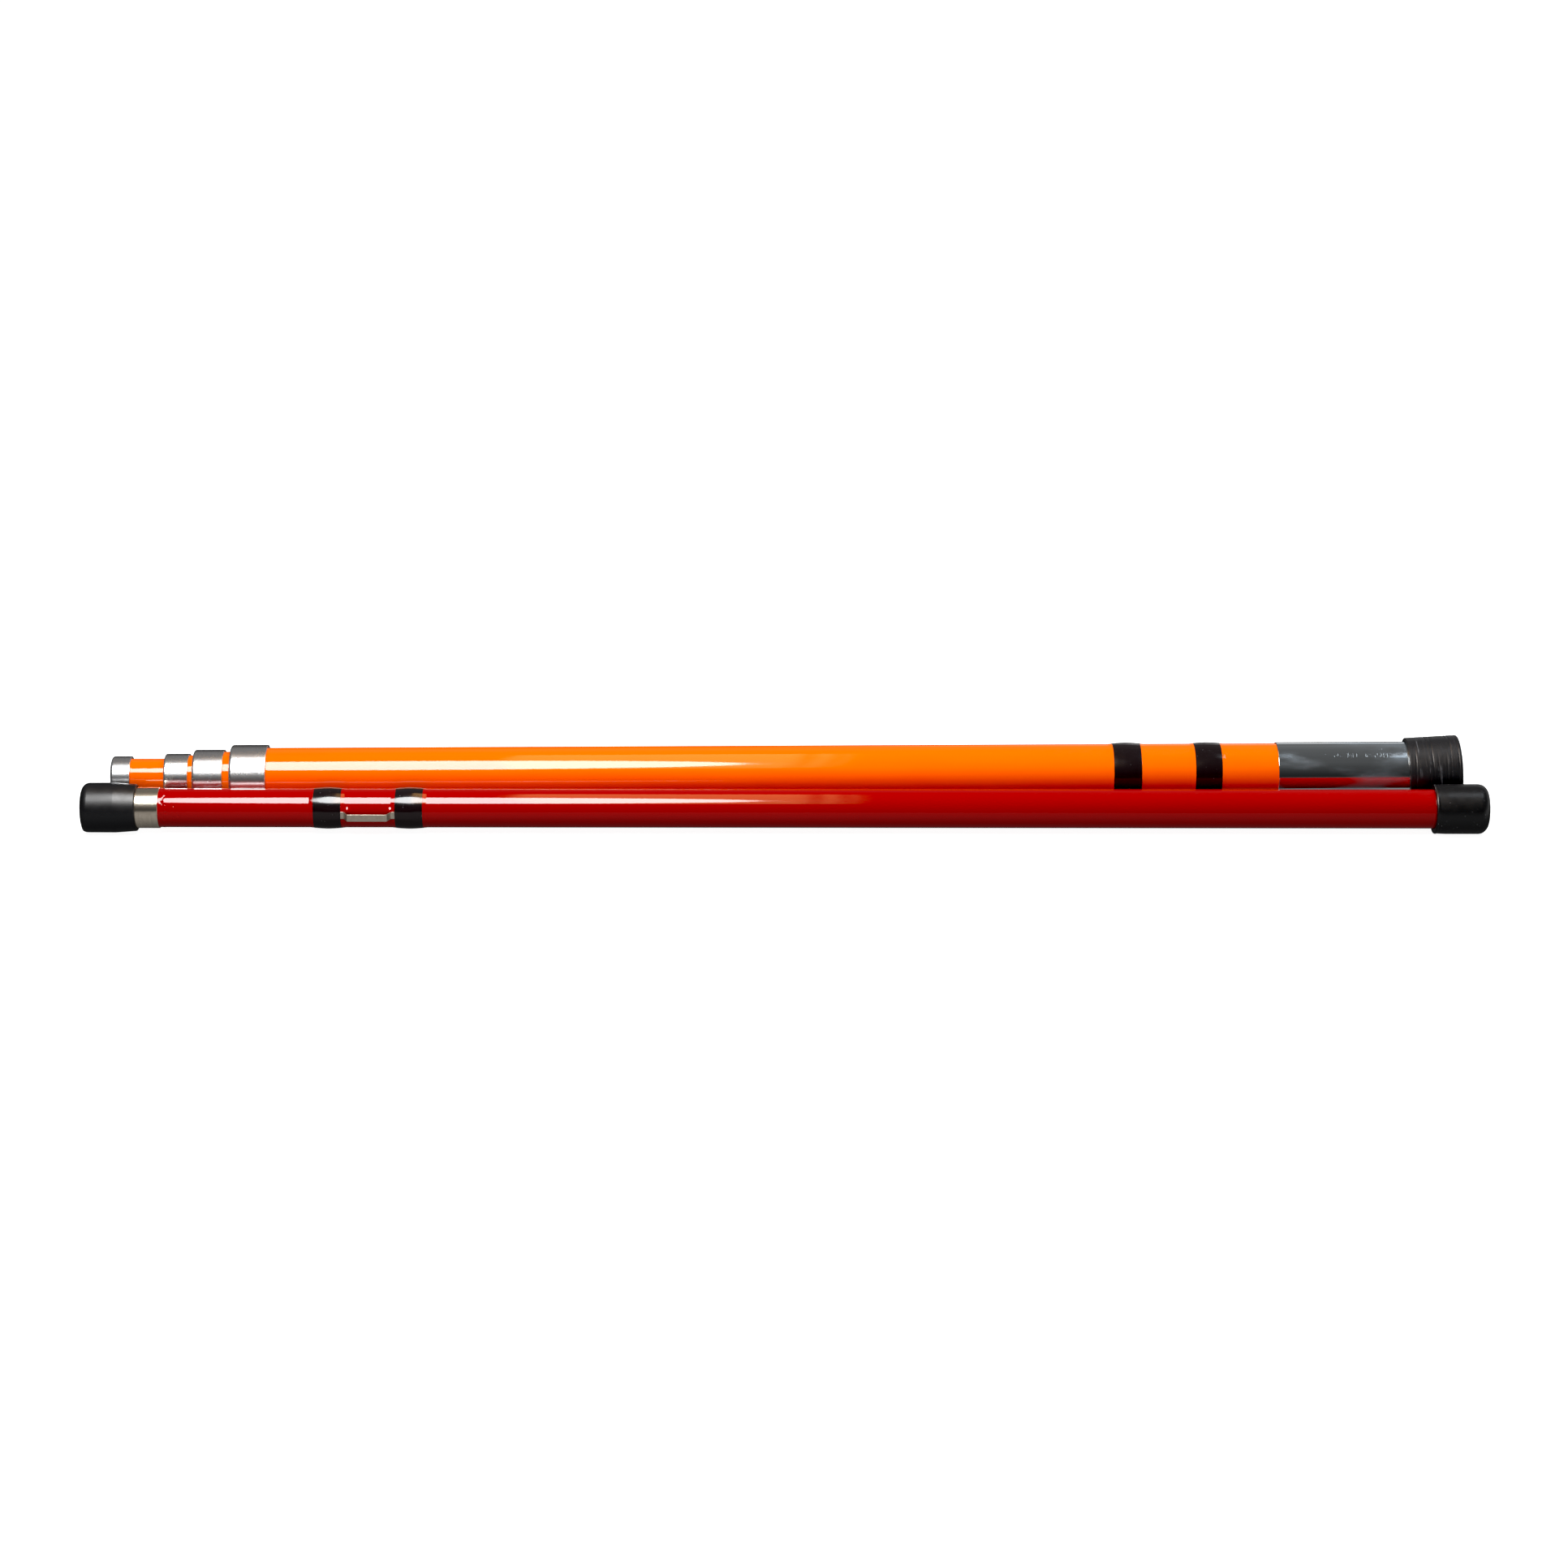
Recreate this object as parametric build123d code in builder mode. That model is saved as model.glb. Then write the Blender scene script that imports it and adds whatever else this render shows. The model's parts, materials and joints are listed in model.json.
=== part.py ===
from build123d import *
import os
from math import cos, radians, sin, tan

# A pair of telescopic fibreglass poles that lie side by side on a floor, mouths towards -X.
# The slim red pole is in front (-Y) and the thick orange pole behind it (+Y).
# Frame: millimetres, +Z up, origin on the floor under the middle of the pair.
# Places along a pole are stations: millimetres along its own axis, 0 halfway along the pair.

os.makedirs("parts", exist_ok=True)

# ---- driving dimensions -----------------------------------------------------------------------

# Tube radii, outermost section first, and the bore of each innermost section
RED_RADII = (14.5, 12.2, 10.0)
RED_LAST_BORE = 8.6
ORANGE_RADII = (21.6, 18.8, 16.2, 13.9)
ORANGE_LAST_BORE = 12.3

# Stations of the butt ends of the tubes, and the step from one inner section to the next
RED_BUTT = 515.6
ORANGE_BUTT = 499.0
FIRST_INNER_BUTT = 440.0
INNER_BUTT_STEP = 52.0

# Collars and end ferrules: front station, rear station, outer radius
RED_COLLARS = ((-499.0, -463.2, 15.2), (-507.0, -499.6, 13.6), (-515.4, -507.6, 11.4))
ORANGE_COLLARS = (
    (-414.8, -387.4, 23.9),
    (-442.7, -420.0, 20.4),
    (-464.3, -446.2, 17.5),
    (-504.1, -489.5, 15.8),
)
LIP_LENGTH = 2.4
COLLAR_CHAMFER = 0.5
RED_TIP_BORE = 7.5
ORANGE_TIP_BORE = 10.0
ORANGE_TIP_BORE_LENGTH = 7.6

# Fits, all radial
SECTION_GAP = 0.8
LIP_GAP = 0.35
EXPANDER_GAP = 0.3
CAP_FIT = 0.08
CAP_END_GAP = 0.3
STUD_CLEARANCE = 0.4
THREAD_FIT = 0.08
CONE_GAP = 0.5

# Rubber caps
RED_END = 520.8
RED_CAP_RADIUS = 18.5
RED_MOUTH_CAP_RIM = -480.0
RED_BUTT_CAP_RIM = 480.6
RED_MOUTH_CAP_TAPER = -495.0
RED_MOUTH_CAP_NARROWING = 1.0
RED_MOUTH_CAP_ROUND = 5.0
RED_MOUTH_CAP_LIP = 1.0
RED_BUTT_CAP_ROUND = 7.0
RED_BUTT_CAP_LIP = 1.2
CAP_FLOOR = 4.2
ORANGE_CAP_RADIUS = 25.2
ORANGE_CAP_RIM = 467.0
ORANGE_CAP_LENGTH = 39.5
ORANGE_CAP_TILT = 3.4
ORANGE_CAP_ROUND = 1.6

# Polished sleeve over the orange pole's butt
SLEEVE_FRONT = 368.6
SLEEVE_RADIUS = 22.4
SLEEVE_CHAMFER = 0.3

# Tape bands (front and rear station) and the bent strip that they hold
RED_TAPES = ((-348.6, -328.2), (-288.2, -267.9))
ORANGE_TAPES = ((245.5, 266.3), (306.6, 326.4))
TAPE_THICKNESS = 0.95
STRIP_WIDTH = 5.4
STRIP_THICKNESS = 0.6
STRIP_STAND_OFF = 5.4
STRIP_BEND = 1.2
TAB_UNDER_TAPE = 13.0
TAB_BEDDING = 0.15
TAB_SHOWING = 2.6
LEG_RUN = 3.0
LOOP_RISE = 5.0

# Twist lock, stations counted from the section's butt end
PLUG_DEPTH = 16.0
PLUG_LEAD = 1.0
GLUE_GROOVE = (-9.0, -7.0)
GLUE_GROOVE_DEPTH = 0.6
FLANGE = 2.0
EXPANDER_START = 2.6
EXPANDER_END = 22.6
WEB = 4.0
CONE_START = 13.0
CONE_END = 25.0
CONE_ANGLE = 10.0
TAPER_START = 9.0
SCREW_START = -12.0
SCREW_SHANK_END = 28.5
SCREW_END = 32.0
SCREW_HEAD = 1.8
EXPANDER_WALL = 2.0
EXPANDER_CHAMFER = 0.6
SLIT = 1.6
SLITS = 4
KEY = 1.0
KEY_INSET = 1.0
CUT_OVERRUN = 5.0
RED_SCREW = 2.5
ORANGE_SCREW = 3.0

# Where the orange pole lies: its axis over the front of collar 1 and over the rim of its cap
PAIR_GAP_MOUTH = 40.0
PAIR_GAP_BUTT = 48.8

# ---- the two pole axes ------------------------------------------------------------------------


def loop_reach(radius):
    """How far a strap loop stands out sideways from its pole's axis."""
    top = radius + STRIP_STAND_OFF + STRIP_THICKNESS - TAB_BEDDING
    return top * cos(radians(LOOP_RISE)) + STRIP_WIDTH / 2 * sin(radians(LOOP_RISE))


# The two loops are the widest points of the pair, so they are as far in front of the middle as
# behind it.
bridge_end = ORANGE_TAPES[1][0] - TAB_SHOWING - LEG_RUN
bridge_share = (bridge_end - ORANGE_COLLARS[0][0]) / (ORANGE_CAP_RIM - ORANGE_COLLARS[0][0])
pair_gap_at_loop = PAIR_GAP_MOUTH + (PAIR_GAP_BUTT - PAIR_GAP_MOUTH) * bridge_share
red_y = (loop_reach(RED_RADII[0]) - pair_gap_at_loop - loop_reach(ORANGE_RADII[0])) / 2

cap_rest = ORANGE_CAP_RADIUS * cos(radians(ORANGE_CAP_TILT))
orange_mouth = Vector(ORANGE_COLLARS[0][0], red_y + PAIR_GAP_MOUTH, ORANGE_COLLARS[0][2])
orange_butt = Vector(ORANGE_CAP_RIM, red_y + PAIR_GAP_BUTT, cap_rest)
orange_way = (orange_butt - orange_mouth).normalized()
orange_middle = orange_mouth - orange_way * ORANGE_COLLARS[0][0]

# Each pole's plane has its local X along the axis and its local Y up, so that a sketch on it is
# an outline of (station, radius).
red_pole = Plane(origin=(0, red_y, RED_CAP_RADIUS), x_dir=(1, 0, 0), z_dir=(0, -1, 0))
orange_pole = Plane(
    origin=orange_middle,
    x_dir=orange_way,
    z_dir=orange_way.cross(Vector(0, 0, 1)).normalized(),
)


def pole_axis(pole):
    """The pole's own axis, towards its butt."""
    return Axis(pole.origin, pole.x_dir)


def side_plane(pole, turn):
    """The pole's plane turned about its axis, so that its local Y points to another side."""
    return Plane(
        origin=pole.origin, x_dir=pole.x_dir, z_dir=pole.z_dir.rotate(pole_axis(pole), turn)
    )


def cross_plane(pole, station):
    """The plane square to the pole at a station, facing the butt."""
    return Plane(origin=pole.origin + pole.x_dir * station, x_dir=pole.z_dir, z_dir=pole.x_dir)


def turned(pole, outline):
    """A solid of revolution about the pole's axis, from its (station, radius) corners."""
    with BuildPart() as piece:
        with BuildSketch(pole):
            with BuildLine():
                Polyline(*outline, close=True)
            make_face()
        revolve(axis=pole_axis(pole))
    return piece


def keep(piece, name):
    """Label a finished piece and write its file."""
    piece.part.label = name
    export_step(piece.part, f"parts/{name}.step")


# ---- tubes and collars ------------------------------------------------------------------------


def bores(radii, last_bore):
    """Bore radii: each tube clears the next section, and the last has its own bore."""
    return tuple(inner + SECTION_GAP for inner in radii[1:]) + (last_bore,)


red_bores = bores(RED_RADII, RED_LAST_BORE)
orange_bores = bores(ORANGE_RADII, ORANGE_LAST_BORE)


def tube(pole, radius, bore, front, butt):
    """One fibreglass section: a plain tube."""
    return turned(pole, [(front, bore), (front, radius), (butt, radius), (butt, bore)])


def collar(pole, collar_size, tube_radius, lip_bore, lip_length):
    """A collar bonded over a tube's mouth, with a front lip that guides the next section."""
    front, rear, radius = collar_size
    seat = front + lip_length
    edge = radius - COLLAR_CHAMFER
    return turned(
        pole,
        [
            (front, lip_bore),
            (front, edge),
            (front + COLLAR_CHAMFER, radius),
            (rear - COLLAR_CHAMFER, radius),
            (rear, edge),
            (rear, tube_radius),
            (seat, tube_radius),
            (seat, lip_bore),
        ],
    )


# ---- twist locks ------------------------------------------------------------------------------


def lock_plug(pole, butt, radius, bore, screw):
    """Nylon plug bonded in a section's butt end, with a flange that covers the tube's end."""
    groove = bore - GLUE_GROOVE_DEPTH
    return turned(
        pole,
        [
            (butt - PLUG_DEPTH, screw),
            (butt - PLUG_DEPTH, bore - PLUG_LEAD),
            (butt - PLUG_DEPTH + PLUG_LEAD, bore),
            (butt + GLUE_GROOVE[0], bore),
            (butt + GLUE_GROOVE[0], groove),
            (butt + GLUE_GROOVE[1], groove),
            (butt + GLUE_GROOVE[1], bore),
            (butt, bore),
            (butt, radius),
            (butt + FLANGE, radius),
            (butt + FLANGE, screw),
        ],
    )


def lock_screw(pole, butt, screw):
    """Steel screw fixed in the plug, its hexagon head behind the cone nut."""
    with BuildPart() as piece:
        with BuildSketch(cross_plane(pole, butt + SCREW_START)):
            Circle(screw)
        extrude(amount=SCREW_SHANK_END - SCREW_START)
        with BuildSketch(cross_plane(pole, butt + SCREW_SHANK_END)):
            RegularPolygon(radius=screw * SCREW_HEAD, side_count=6)
        extrude(amount=SCREW_END - SCREW_SHANK_END)
    return piece


def taper_radius(station, grip):
    """Radius of the expander's inner taper at a station, for an expander of outer radius grip."""
    return grip - EXPANDER_WALL - (EXPANDER_END - station) * tan(radians(CONE_ANGLE))


def expander(pole, butt, grip, screw):
    """Split nylon sleeve: a web with a hole for the screw, and a tapered inside for the cone."""
    hole = screw + STUD_CLEARANCE
    throat = taper_radius(TAPER_START, grip)
    mouth = taper_radius(EXPANDER_END, grip)
    start = butt + EXPANDER_START
    end = butt + EXPANDER_END
    web_end = start + WEB
    edge = grip - EXPANDER_CHAMFER
    with BuildPart() as piece:
        with BuildSketch(pole):
            with BuildLine():
                Polyline(
                    (start, hole),
                    (start, edge),
                    (start + EXPANDER_CHAMFER, grip),
                    (end - EXPANDER_CHAMFER, grip),
                    (end, edge),
                    (end, mouth),
                    (butt + TAPER_START, throat),
                    (web_end, throat),
                    (web_end, hole),
                    close=True,
                )
            make_face()
        revolve(axis=pole_axis(pole))
        with BuildSketch(cross_plane(pole, web_end)):
            with PolarLocations(grip, SLITS):
                Rectangle(2 * (grip - throat + KEY_INSET), SLIT)
        extrude(amount=end - web_end, mode=Mode.SUBTRACT)
    return piece


def cone_nut(pole, butt, grip, screw):
    """Nut with a tapered outside and one key that rides in a slit of the expander."""
    small = taper_radius(CONE_START, grip) - CONE_GAP
    big = taper_radius(CONE_END, grip) - CONE_GAP
    bore = screw + THREAD_FIT
    key_top = grip - KEY_INSET
    key_foot = small - KEY_INSET
    with BuildPart() as piece:
        with BuildSketch(pole):
            with BuildLine():
                Polyline(
                    (butt + CONE_START, bore),
                    (butt + CONE_START, small),
                    (butt + CONE_END, big),
                    (butt + CONE_END, bore),
                    close=True,
                )
            make_face()
        revolve(axis=pole_axis(pole))
        with BuildSketch(cross_plane(pole, butt + CONE_START + KEY_INSET)):
            with Locations(((key_top + key_foot) / 2, 0)):
                Rectangle(key_top - key_foot, KEY)
        extrude(amount=CONE_END - CONE_START - 2 * KEY_INSET)
    return piece


# ---- both poles' telescopic parts ---------------------------------------------------------------


def make_telescope(colour, pole, radii, bore_radii, collars, tip_bore, tip_length, outer_butt, screw):
    """Write every tube, collar and lock of one pole. Section 1 is the outer tube."""
    count = len(radii)
    for index in range(count):
        number = index + 1
        last = number == count
        radius = radii[index]
        bore = bore_radii[index]
        lip_bore = tip_bore if last else radii[index + 1] + LIP_GAP
        lip_length = tip_length if last else LIP_LENGTH
        front = collars[index][0] + lip_length
        butt = outer_butt if index == 0 else FIRST_INNER_BUTT - (index - 1) * INNER_BUTT_STEP
        fitting = "ferrule" if last else "collar"
        section = "outer_tube" if index == 0 else f"section_{number}"

        keep(tube(pole, radius, bore, front, butt), f"{colour}_{section}")
        keep(collar(pole, collars[index], radius, lip_bore, lip_length), f"{colour}_{fitting}_{number}")
        if index > 0:
            grip = bore_radii[index - 1] - EXPANDER_GAP
            keep(lock_plug(pole, butt, radius, bore, screw), f"{colour}_lock_plug_{number}")
            keep(lock_screw(pole, butt, screw), f"{colour}_lock_screw_{number}")
            keep(expander(pole, butt, grip, screw), f"{colour}_expander_{number}")
            keep(cone_nut(pole, butt, grip, screw), f"{colour}_cone_nut_{number}")


make_telescope(
    "red", red_pole, RED_RADII, red_bores, RED_COLLARS, RED_TIP_BORE, LIP_LENGTH, RED_BUTT, RED_SCREW
)
make_telescope(
    "orange",
    orange_pole,
    ORANGE_RADII,
    orange_bores,
    ORANGE_COLLARS,
    ORANGE_TIP_BORE,
    ORANGE_TIP_BORE_LENGTH,
    ORANGE_BUTT,
    ORANGE_SCREW,
)

# ---- strap loops and the tapes that hold them ---------------------------------------------------


def strap_loop(pole, radius, tapes, turn):
    """A strip bent into a flat-topped bridge, its two tabs bedded on the tube."""
    low = radius + STRIP_THICKNESS / 2 - TAB_BEDDING
    high = low + STRIP_STAND_OFF
    front_bend = tapes[0][1] + TAB_SHOWING
    rear_bend = tapes[1][0] - TAB_SHOWING
    route = [
        (tapes[0][1] - TAB_UNDER_TAPE, low),
        (front_bend, low),
        (front_bend + LEG_RUN, high),
        (rear_bend - LEG_RUN, high),
        (rear_bend, low),
        (tapes[1][0] + TAB_UNDER_TAPE, low),
    ]
    with BuildPart() as piece:
        with BuildSketch(side_plane(pole, turn)):
            with BuildLine():
                FilletPolyline(*route, radius=STRIP_BEND)
            trace(line_width=STRIP_THICKNESS)
        extrude(amount=STRIP_WIDTH / 2, both=True)
        with BuildSketch(cross_plane(pole, tapes[0][0])):
            Circle(radius)
        extrude(amount=tapes[1][1] - tapes[0][0], mode=Mode.SUBTRACT)
    return piece


def tape_band(pole, radius, ends, loop):
    """A few turns of tape round the tube and over one tab of the loop."""
    with BuildPart() as piece:
        with BuildSketch(cross_plane(pole, ends[0])):
            Circle(radius + TAPE_THICKNESS)
            Circle(radius, mode=Mode.SUBTRACT)
        extrude(amount=ends[1] - ends[0])
        add(loop.part, mode=Mode.SUBTRACT)
    return piece


def make_loop(colour, pole, radius, tapes, turn):
    """Write one strap loop and its two tape bands."""
    loop = strap_loop(pole, radius, tapes, turn)
    keep(loop, f"{colour}_strap_loop")
    for ends, place in zip(tapes, ("front", "rear")):
        keep(tape_band(pole, radius, ends, loop), f"{colour}_tape_{place}")


make_loop("red", red_pole, RED_RADII[0], RED_TAPES, 90.0 - LOOP_RISE)
make_loop("orange", orange_pole, ORANGE_RADII[0], ORANGE_TAPES, LOOP_RISE - 90.0)

# ---- caps and the butt sleeve -------------------------------------------------------------------

# The mouth cap is a thick rubber cup that narrows a little towards its rim.
cap_bore = RED_COLLARS[0][2] + CAP_FIT
cap_inside = -RED_END + CAP_FLOOR
with BuildPart() as red_mouth_cap:
    with BuildSketch(red_pole):
        with BuildLine():
            Polyline(
                (-RED_END, 0),
                (-RED_END, RED_CAP_RADIUS),
                (RED_MOUTH_CAP_TAPER, RED_CAP_RADIUS),
                (RED_MOUTH_CAP_RIM, RED_CAP_RADIUS - RED_MOUTH_CAP_NARROWING),
                (RED_MOUTH_CAP_RIM, cap_bore),
                (cap_inside, cap_bore),
                (cap_inside, 0),
                close=True,
            )
        make_face()
    revolve(axis=pole_axis(red_pole))
    end_rings = red_mouth_cap.edges().filter_by(GeomType.CIRCLE).group_by(Axis.X)
    fillet(end_rings[0], radius=RED_MOUTH_CAP_ROUND)
    fillet(end_rings[-1].sort_by(SortBy.RADIUS)[-1], radius=RED_MOUTH_CAP_LIP)
keep(red_mouth_cap, "red_mouth_cap")

# The butt cap is a thinner dipped cap with a rolled lip and a well rounded end.
butt_cap_bore = RED_RADII[0] + CAP_FIT
with BuildPart() as red_butt_cap:
    with BuildSketch(red_pole):
        with BuildLine():
            Polyline(
                (RED_BUTT_CAP_RIM, butt_cap_bore),
                (RED_BUTT_CAP_RIM, RED_CAP_RADIUS),
                (RED_END, RED_CAP_RADIUS),
                (RED_END, 0),
                (RED_END - CAP_FLOOR, 0),
                (RED_END - CAP_FLOOR, butt_cap_bore),
                close=True,
            )
        make_face()
    revolve(axis=pole_axis(red_pole))
    end_rings = red_butt_cap.edges().filter_by(GeomType.CIRCLE).group_by(Axis.X)
    fillet(end_rings[-1], radius=RED_BUTT_CAP_ROUND)
    fillet(end_rings[0].sort_by(SortBy.RADIUS)[-1], radius=RED_BUTT_CAP_LIP)
keep(red_butt_cap, "red_butt_cap")

# The sleeve covers the last stretch of the orange tube, up to the end of it.
butt_sleeve = turned(
    orange_pole,
    [
        (SLEEVE_FRONT, ORANGE_RADII[0]),
        (SLEEVE_FRONT, SLEEVE_RADIUS - SLEEVE_CHAMFER),
        (SLEEVE_FRONT + SLEEVE_CHAMFER, SLEEVE_RADIUS),
        (ORANGE_BUTT, SLEEVE_RADIUS),
        (ORANGE_BUTT, ORANGE_RADII[0]),
    ],
)
keep(butt_sleeve, "orange_butt_sleeve")

# The orange cap sits crooked: its outside leans up, and its bore stays true to the pole.
lean = Axis(orange_pole.origin, orange_pole.z_dir)
leaning_seat = Plane(
    origin=orange_middle + orange_way * ORANGE_CAP_RIM,
    x_dir=orange_pole.z_dir,
    z_dir=orange_way.rotate(lean, ORANGE_CAP_TILT),
)
with BuildPart() as orange_butt_cap:
    with BuildSketch(leaning_seat):
        Circle(ORANGE_CAP_RADIUS)
    extrude(amount=ORANGE_CAP_LENGTH)
    fillet(orange_butt_cap.faces().sort_by(Axis.X)[-1].edges(), radius=ORANGE_CAP_ROUND)
    with BuildSketch(cross_plane(orange_pole, ORANGE_CAP_RIM - CUT_OVERRUN)):
        Circle(SLEEVE_RADIUS + CAP_FIT)
    extrude(amount=ORANGE_BUTT + CAP_END_GAP - ORANGE_CAP_RIM + CUT_OVERRUN, mode=Mode.SUBTRACT)
keep(orange_butt_cap, "orange_butt_cap")

# The places and directions that the mounts and joints need
cap_face = leaning_seat.origin + leaning_seat.z_dir * ORANGE_CAP_LENGTH
print("red pole y", round(red_y, 6))
print("orange axis way", [round(value, 9) for value in orange_way])
print("orange axis middle", [round(value, 6) for value in orange_middle])
print("orange cap face", [round(value, 6) for value in cap_face])
print("orange cap way", [round(value, 9) for value in leaning_seat.z_dir])
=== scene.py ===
# %% [markdown]
# # Two telescopic fibreglass survey poles
#
# A slim red pole lies in front of a thick orange one. Each is a nest of fibreglass tubes with metal
# collars at their mouths, rubber caps on their ends, and a bent strap loop held by two tape bands.
# The sizes and the way everything moves come from a finished mechanical model, which is loaded first
# and stays as it is. This lesson builds the surfaces that are seen, and what they are made of.

# %% Load the frame
import json
from collections import namedtuple
from math import ceil, cos, pi, radians, sin, tan

import bpy
import numpy as np
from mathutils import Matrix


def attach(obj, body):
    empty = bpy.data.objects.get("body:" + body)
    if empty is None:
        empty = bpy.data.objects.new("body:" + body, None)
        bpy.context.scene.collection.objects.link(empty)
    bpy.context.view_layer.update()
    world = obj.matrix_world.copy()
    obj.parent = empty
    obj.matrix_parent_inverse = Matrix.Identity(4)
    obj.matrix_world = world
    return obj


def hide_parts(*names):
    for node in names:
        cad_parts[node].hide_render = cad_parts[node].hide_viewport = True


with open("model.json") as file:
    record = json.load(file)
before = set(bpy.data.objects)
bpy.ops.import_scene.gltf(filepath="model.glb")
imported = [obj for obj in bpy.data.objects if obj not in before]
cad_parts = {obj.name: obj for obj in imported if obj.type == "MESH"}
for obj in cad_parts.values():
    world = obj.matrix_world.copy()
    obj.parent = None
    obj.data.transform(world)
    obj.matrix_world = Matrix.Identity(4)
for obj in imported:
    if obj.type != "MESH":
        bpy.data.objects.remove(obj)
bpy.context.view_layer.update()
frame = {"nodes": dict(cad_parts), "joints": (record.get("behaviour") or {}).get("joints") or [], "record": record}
record = frame["record"]
nodes = frame["nodes"]
body_of = {name: body for body, names in record["behaviour"]["bodies"].items() for name in names}

# %% [markdown]
# ## Where the poles lie
#
# Nearly every piece here is round, so it helps to think in the way of a lathe: how far along the
# pole, how far out from its axis, and how far round. A station is a distance along a pole's own
# axis. A turn is an angle round it: 0 is up, 90 degrees faces the front, 180 is down. The orange
# pole isn't quite parallel to the red one, so each has its own axis, and both are read from the
# joints that the sections twist on.

# %% The two axes
Pole = namedtuple("Pole", "origin way up front")


def unit(vector):
    """vector / length, so that its length is 1."""
    return vector / np.linalg.norm(vector)


def make_pole(origin, way):
    """An axis with the two directions square to it: up, and towards the front."""
    way = unit(np.array(way, float))
    up = unit(np.array((0.0, 0.0, 1.0)) - way[2] * way)
    return Pole(np.array(origin, float), way, up, np.cross(way, up))


joints = {joint["name"]: joint for joint in frame["joints"]}
mounts = {mount["name"]: mount for mount in record["mounts"]}
twists = {colour: joints[f"{colour}_section_2_twist"] for colour in ("red", "orange")}
poles = {colour: make_pole(twist["pos_m"], twist["axis"]) for colour, twist in twists.items()}
for colour, pole in poles.items():
    print(colour, "pole: origin", pole.origin.round(4), "way", pole.way.round(4))

# %% [markdown]
# A node's front and rear stations and its inner and outer radius can be measured on its mesh. All
# outlines below are written in millimetres, the unit that such parts are drawn in, and turned to
# metres only when a mesh is made.

# %% Measure a node on its pole
MM = 0.001
Span = namedtuple("Span", "front rear inner outer")


def span(name, pole=None):
    """Front and rear station, inner and outer radius of a node, in mm, on its own pole or another."""
    pole = pole or poles[name.split("_")[0]]
    mesh = nodes[name].data
    points = np.empty(len(mesh.vertices) * 3, np.float32)
    mesh.vertices.foreach_get("co", points)
    points = points.reshape(-1, 3) - pole.origin
    along = points @ pole.way
    out = np.linalg.norm(points - along[:, None] * pole.way, axis=1)
    return Span(*(float(value) / MM for value in (along.min(), along.max(), out.min(), out.max())))


for name in ("red_outer_tube", "orange_outer_tube", "red_tape_front", "orange_tape_front"):
    print(name, [round(value, 2) for value in span(name)])

# %% [markdown]
# ## From an outline to a skin
#
# No real edge is sharp: a collar is chamfered and deburred, a cap is moulded with a radius. Those
# small arcs are what draws the bright lines along edges, so each corner of an outline gets one. A
# point just outside each end of an arc keeps the smooth shading of the flat run next to it flat.

# %% Round one corner
ARC_STEP = radians(14)
STRAIGHT_ON = radians(1)
SHARE_OF_RUN = 0.45
SUPPORT = 0.12
TIGHT_SUPPORT = 0.1


def rounded_corner(before, here, after, radius):
    """The arc of the given radius that touches both runs at a corner, with its support points.

    It starts radius * tan(turn / 2) before the corner, or where it uses up its share of a short run.
    Its points are the two outer spokes in the shares sin((1 - share) * turn) and sin(share * turn).
    """
    back = unit(before - here)
    forth = unit(after - here)
    turn = np.arccos(np.clip(-(back @ forth), -1, 1))
    if turn < STRAIGHT_ON or radius <= 0:
        return here[None]
    room = SHARE_OF_RUN * min(np.linalg.norm(before - here), np.linalg.norm(after - here))
    reach = min(radius * tan(turn / 2), room)
    radius = reach / tan(turn / 2)
    centre = here + unit(back + forth) * radius / cos(turn / 2)
    spokes = here + reach * np.array((back, forth)) - centre
    share = np.linspace(0, 1, max(3, ceil(turn / ARC_STEP) + 1))[:, None]
    blend = np.sin((1 - share) * turn) * spokes[0] + np.sin(share * turn) * spokes[1]
    arc = centre + blend / sin(turn)
    support = min(SUPPORT, room - reach + TIGHT_SUPPORT * room)
    return np.vstack((arc[0] + support * back, arc, arc[-1] + support * forth))


corner = rounded_corner(np.array((0.0, 10.0)), np.array((0.0, 0.0)), np.array((10.0, 0.0)), 1)
print("a square corner takes", len(corner), "points")

# %% [markdown]
# An outline is then a short list of corners, each with its own rounding, as on a drawing. A closed one
# goes round to its first corner, and an open one keeps its two ends as they are.

# %% Outline from corners


def outline(corners, closed=True):
    """(station, radius) points of a profile from its (station, radius, rounding) corners."""
    corners = np.array(corners, float)
    points = corners[:, :2]
    runs = []
    for index, (here, rounding) in enumerate(zip(points, corners[:, 2])):
        if not closed and index in (0, len(points) - 1):
            runs.append(here[None])
        else:
            after = points[(index + 1) % len(points)]
            runs.append(rounded_corner(points[index - 1], here, after, rounding))
    return np.vstack(runs)


square = outline([(0, 0, 1), (10, 0, 1), (10, 10, 1), (0, 10, 1)])
print("a square outline with rounded corners has", len(square), "points")

# %% [markdown]
# A skin is a grid of points: rows run along the outline, and each row goes once round. A tube's rows
# join up at the end, because its outline goes back through the bore. A cap's first and last rows
# shrink to a point on the axis. The volume that the faces enclose comes out negative if they face
# inwards, and then they are turned over. Each piece also keeps its own coordinates on the pole
# (station, height, depth) as an attribute, so that brush marks and streaks follow the piece.

# %% Skin over a grid


def place(pole, stations, radii, turns):
    """origin + station * way + radius * (cos(turn) * up + sin(turn) * front), from mm to metres."""
    out = np.cos(turns)[..., None] * pole.up + np.sin(turns)[..., None] * pole.front
    return pole.origin + MM * (stations[..., None] * pole.way + radii[..., None] * out)


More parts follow.
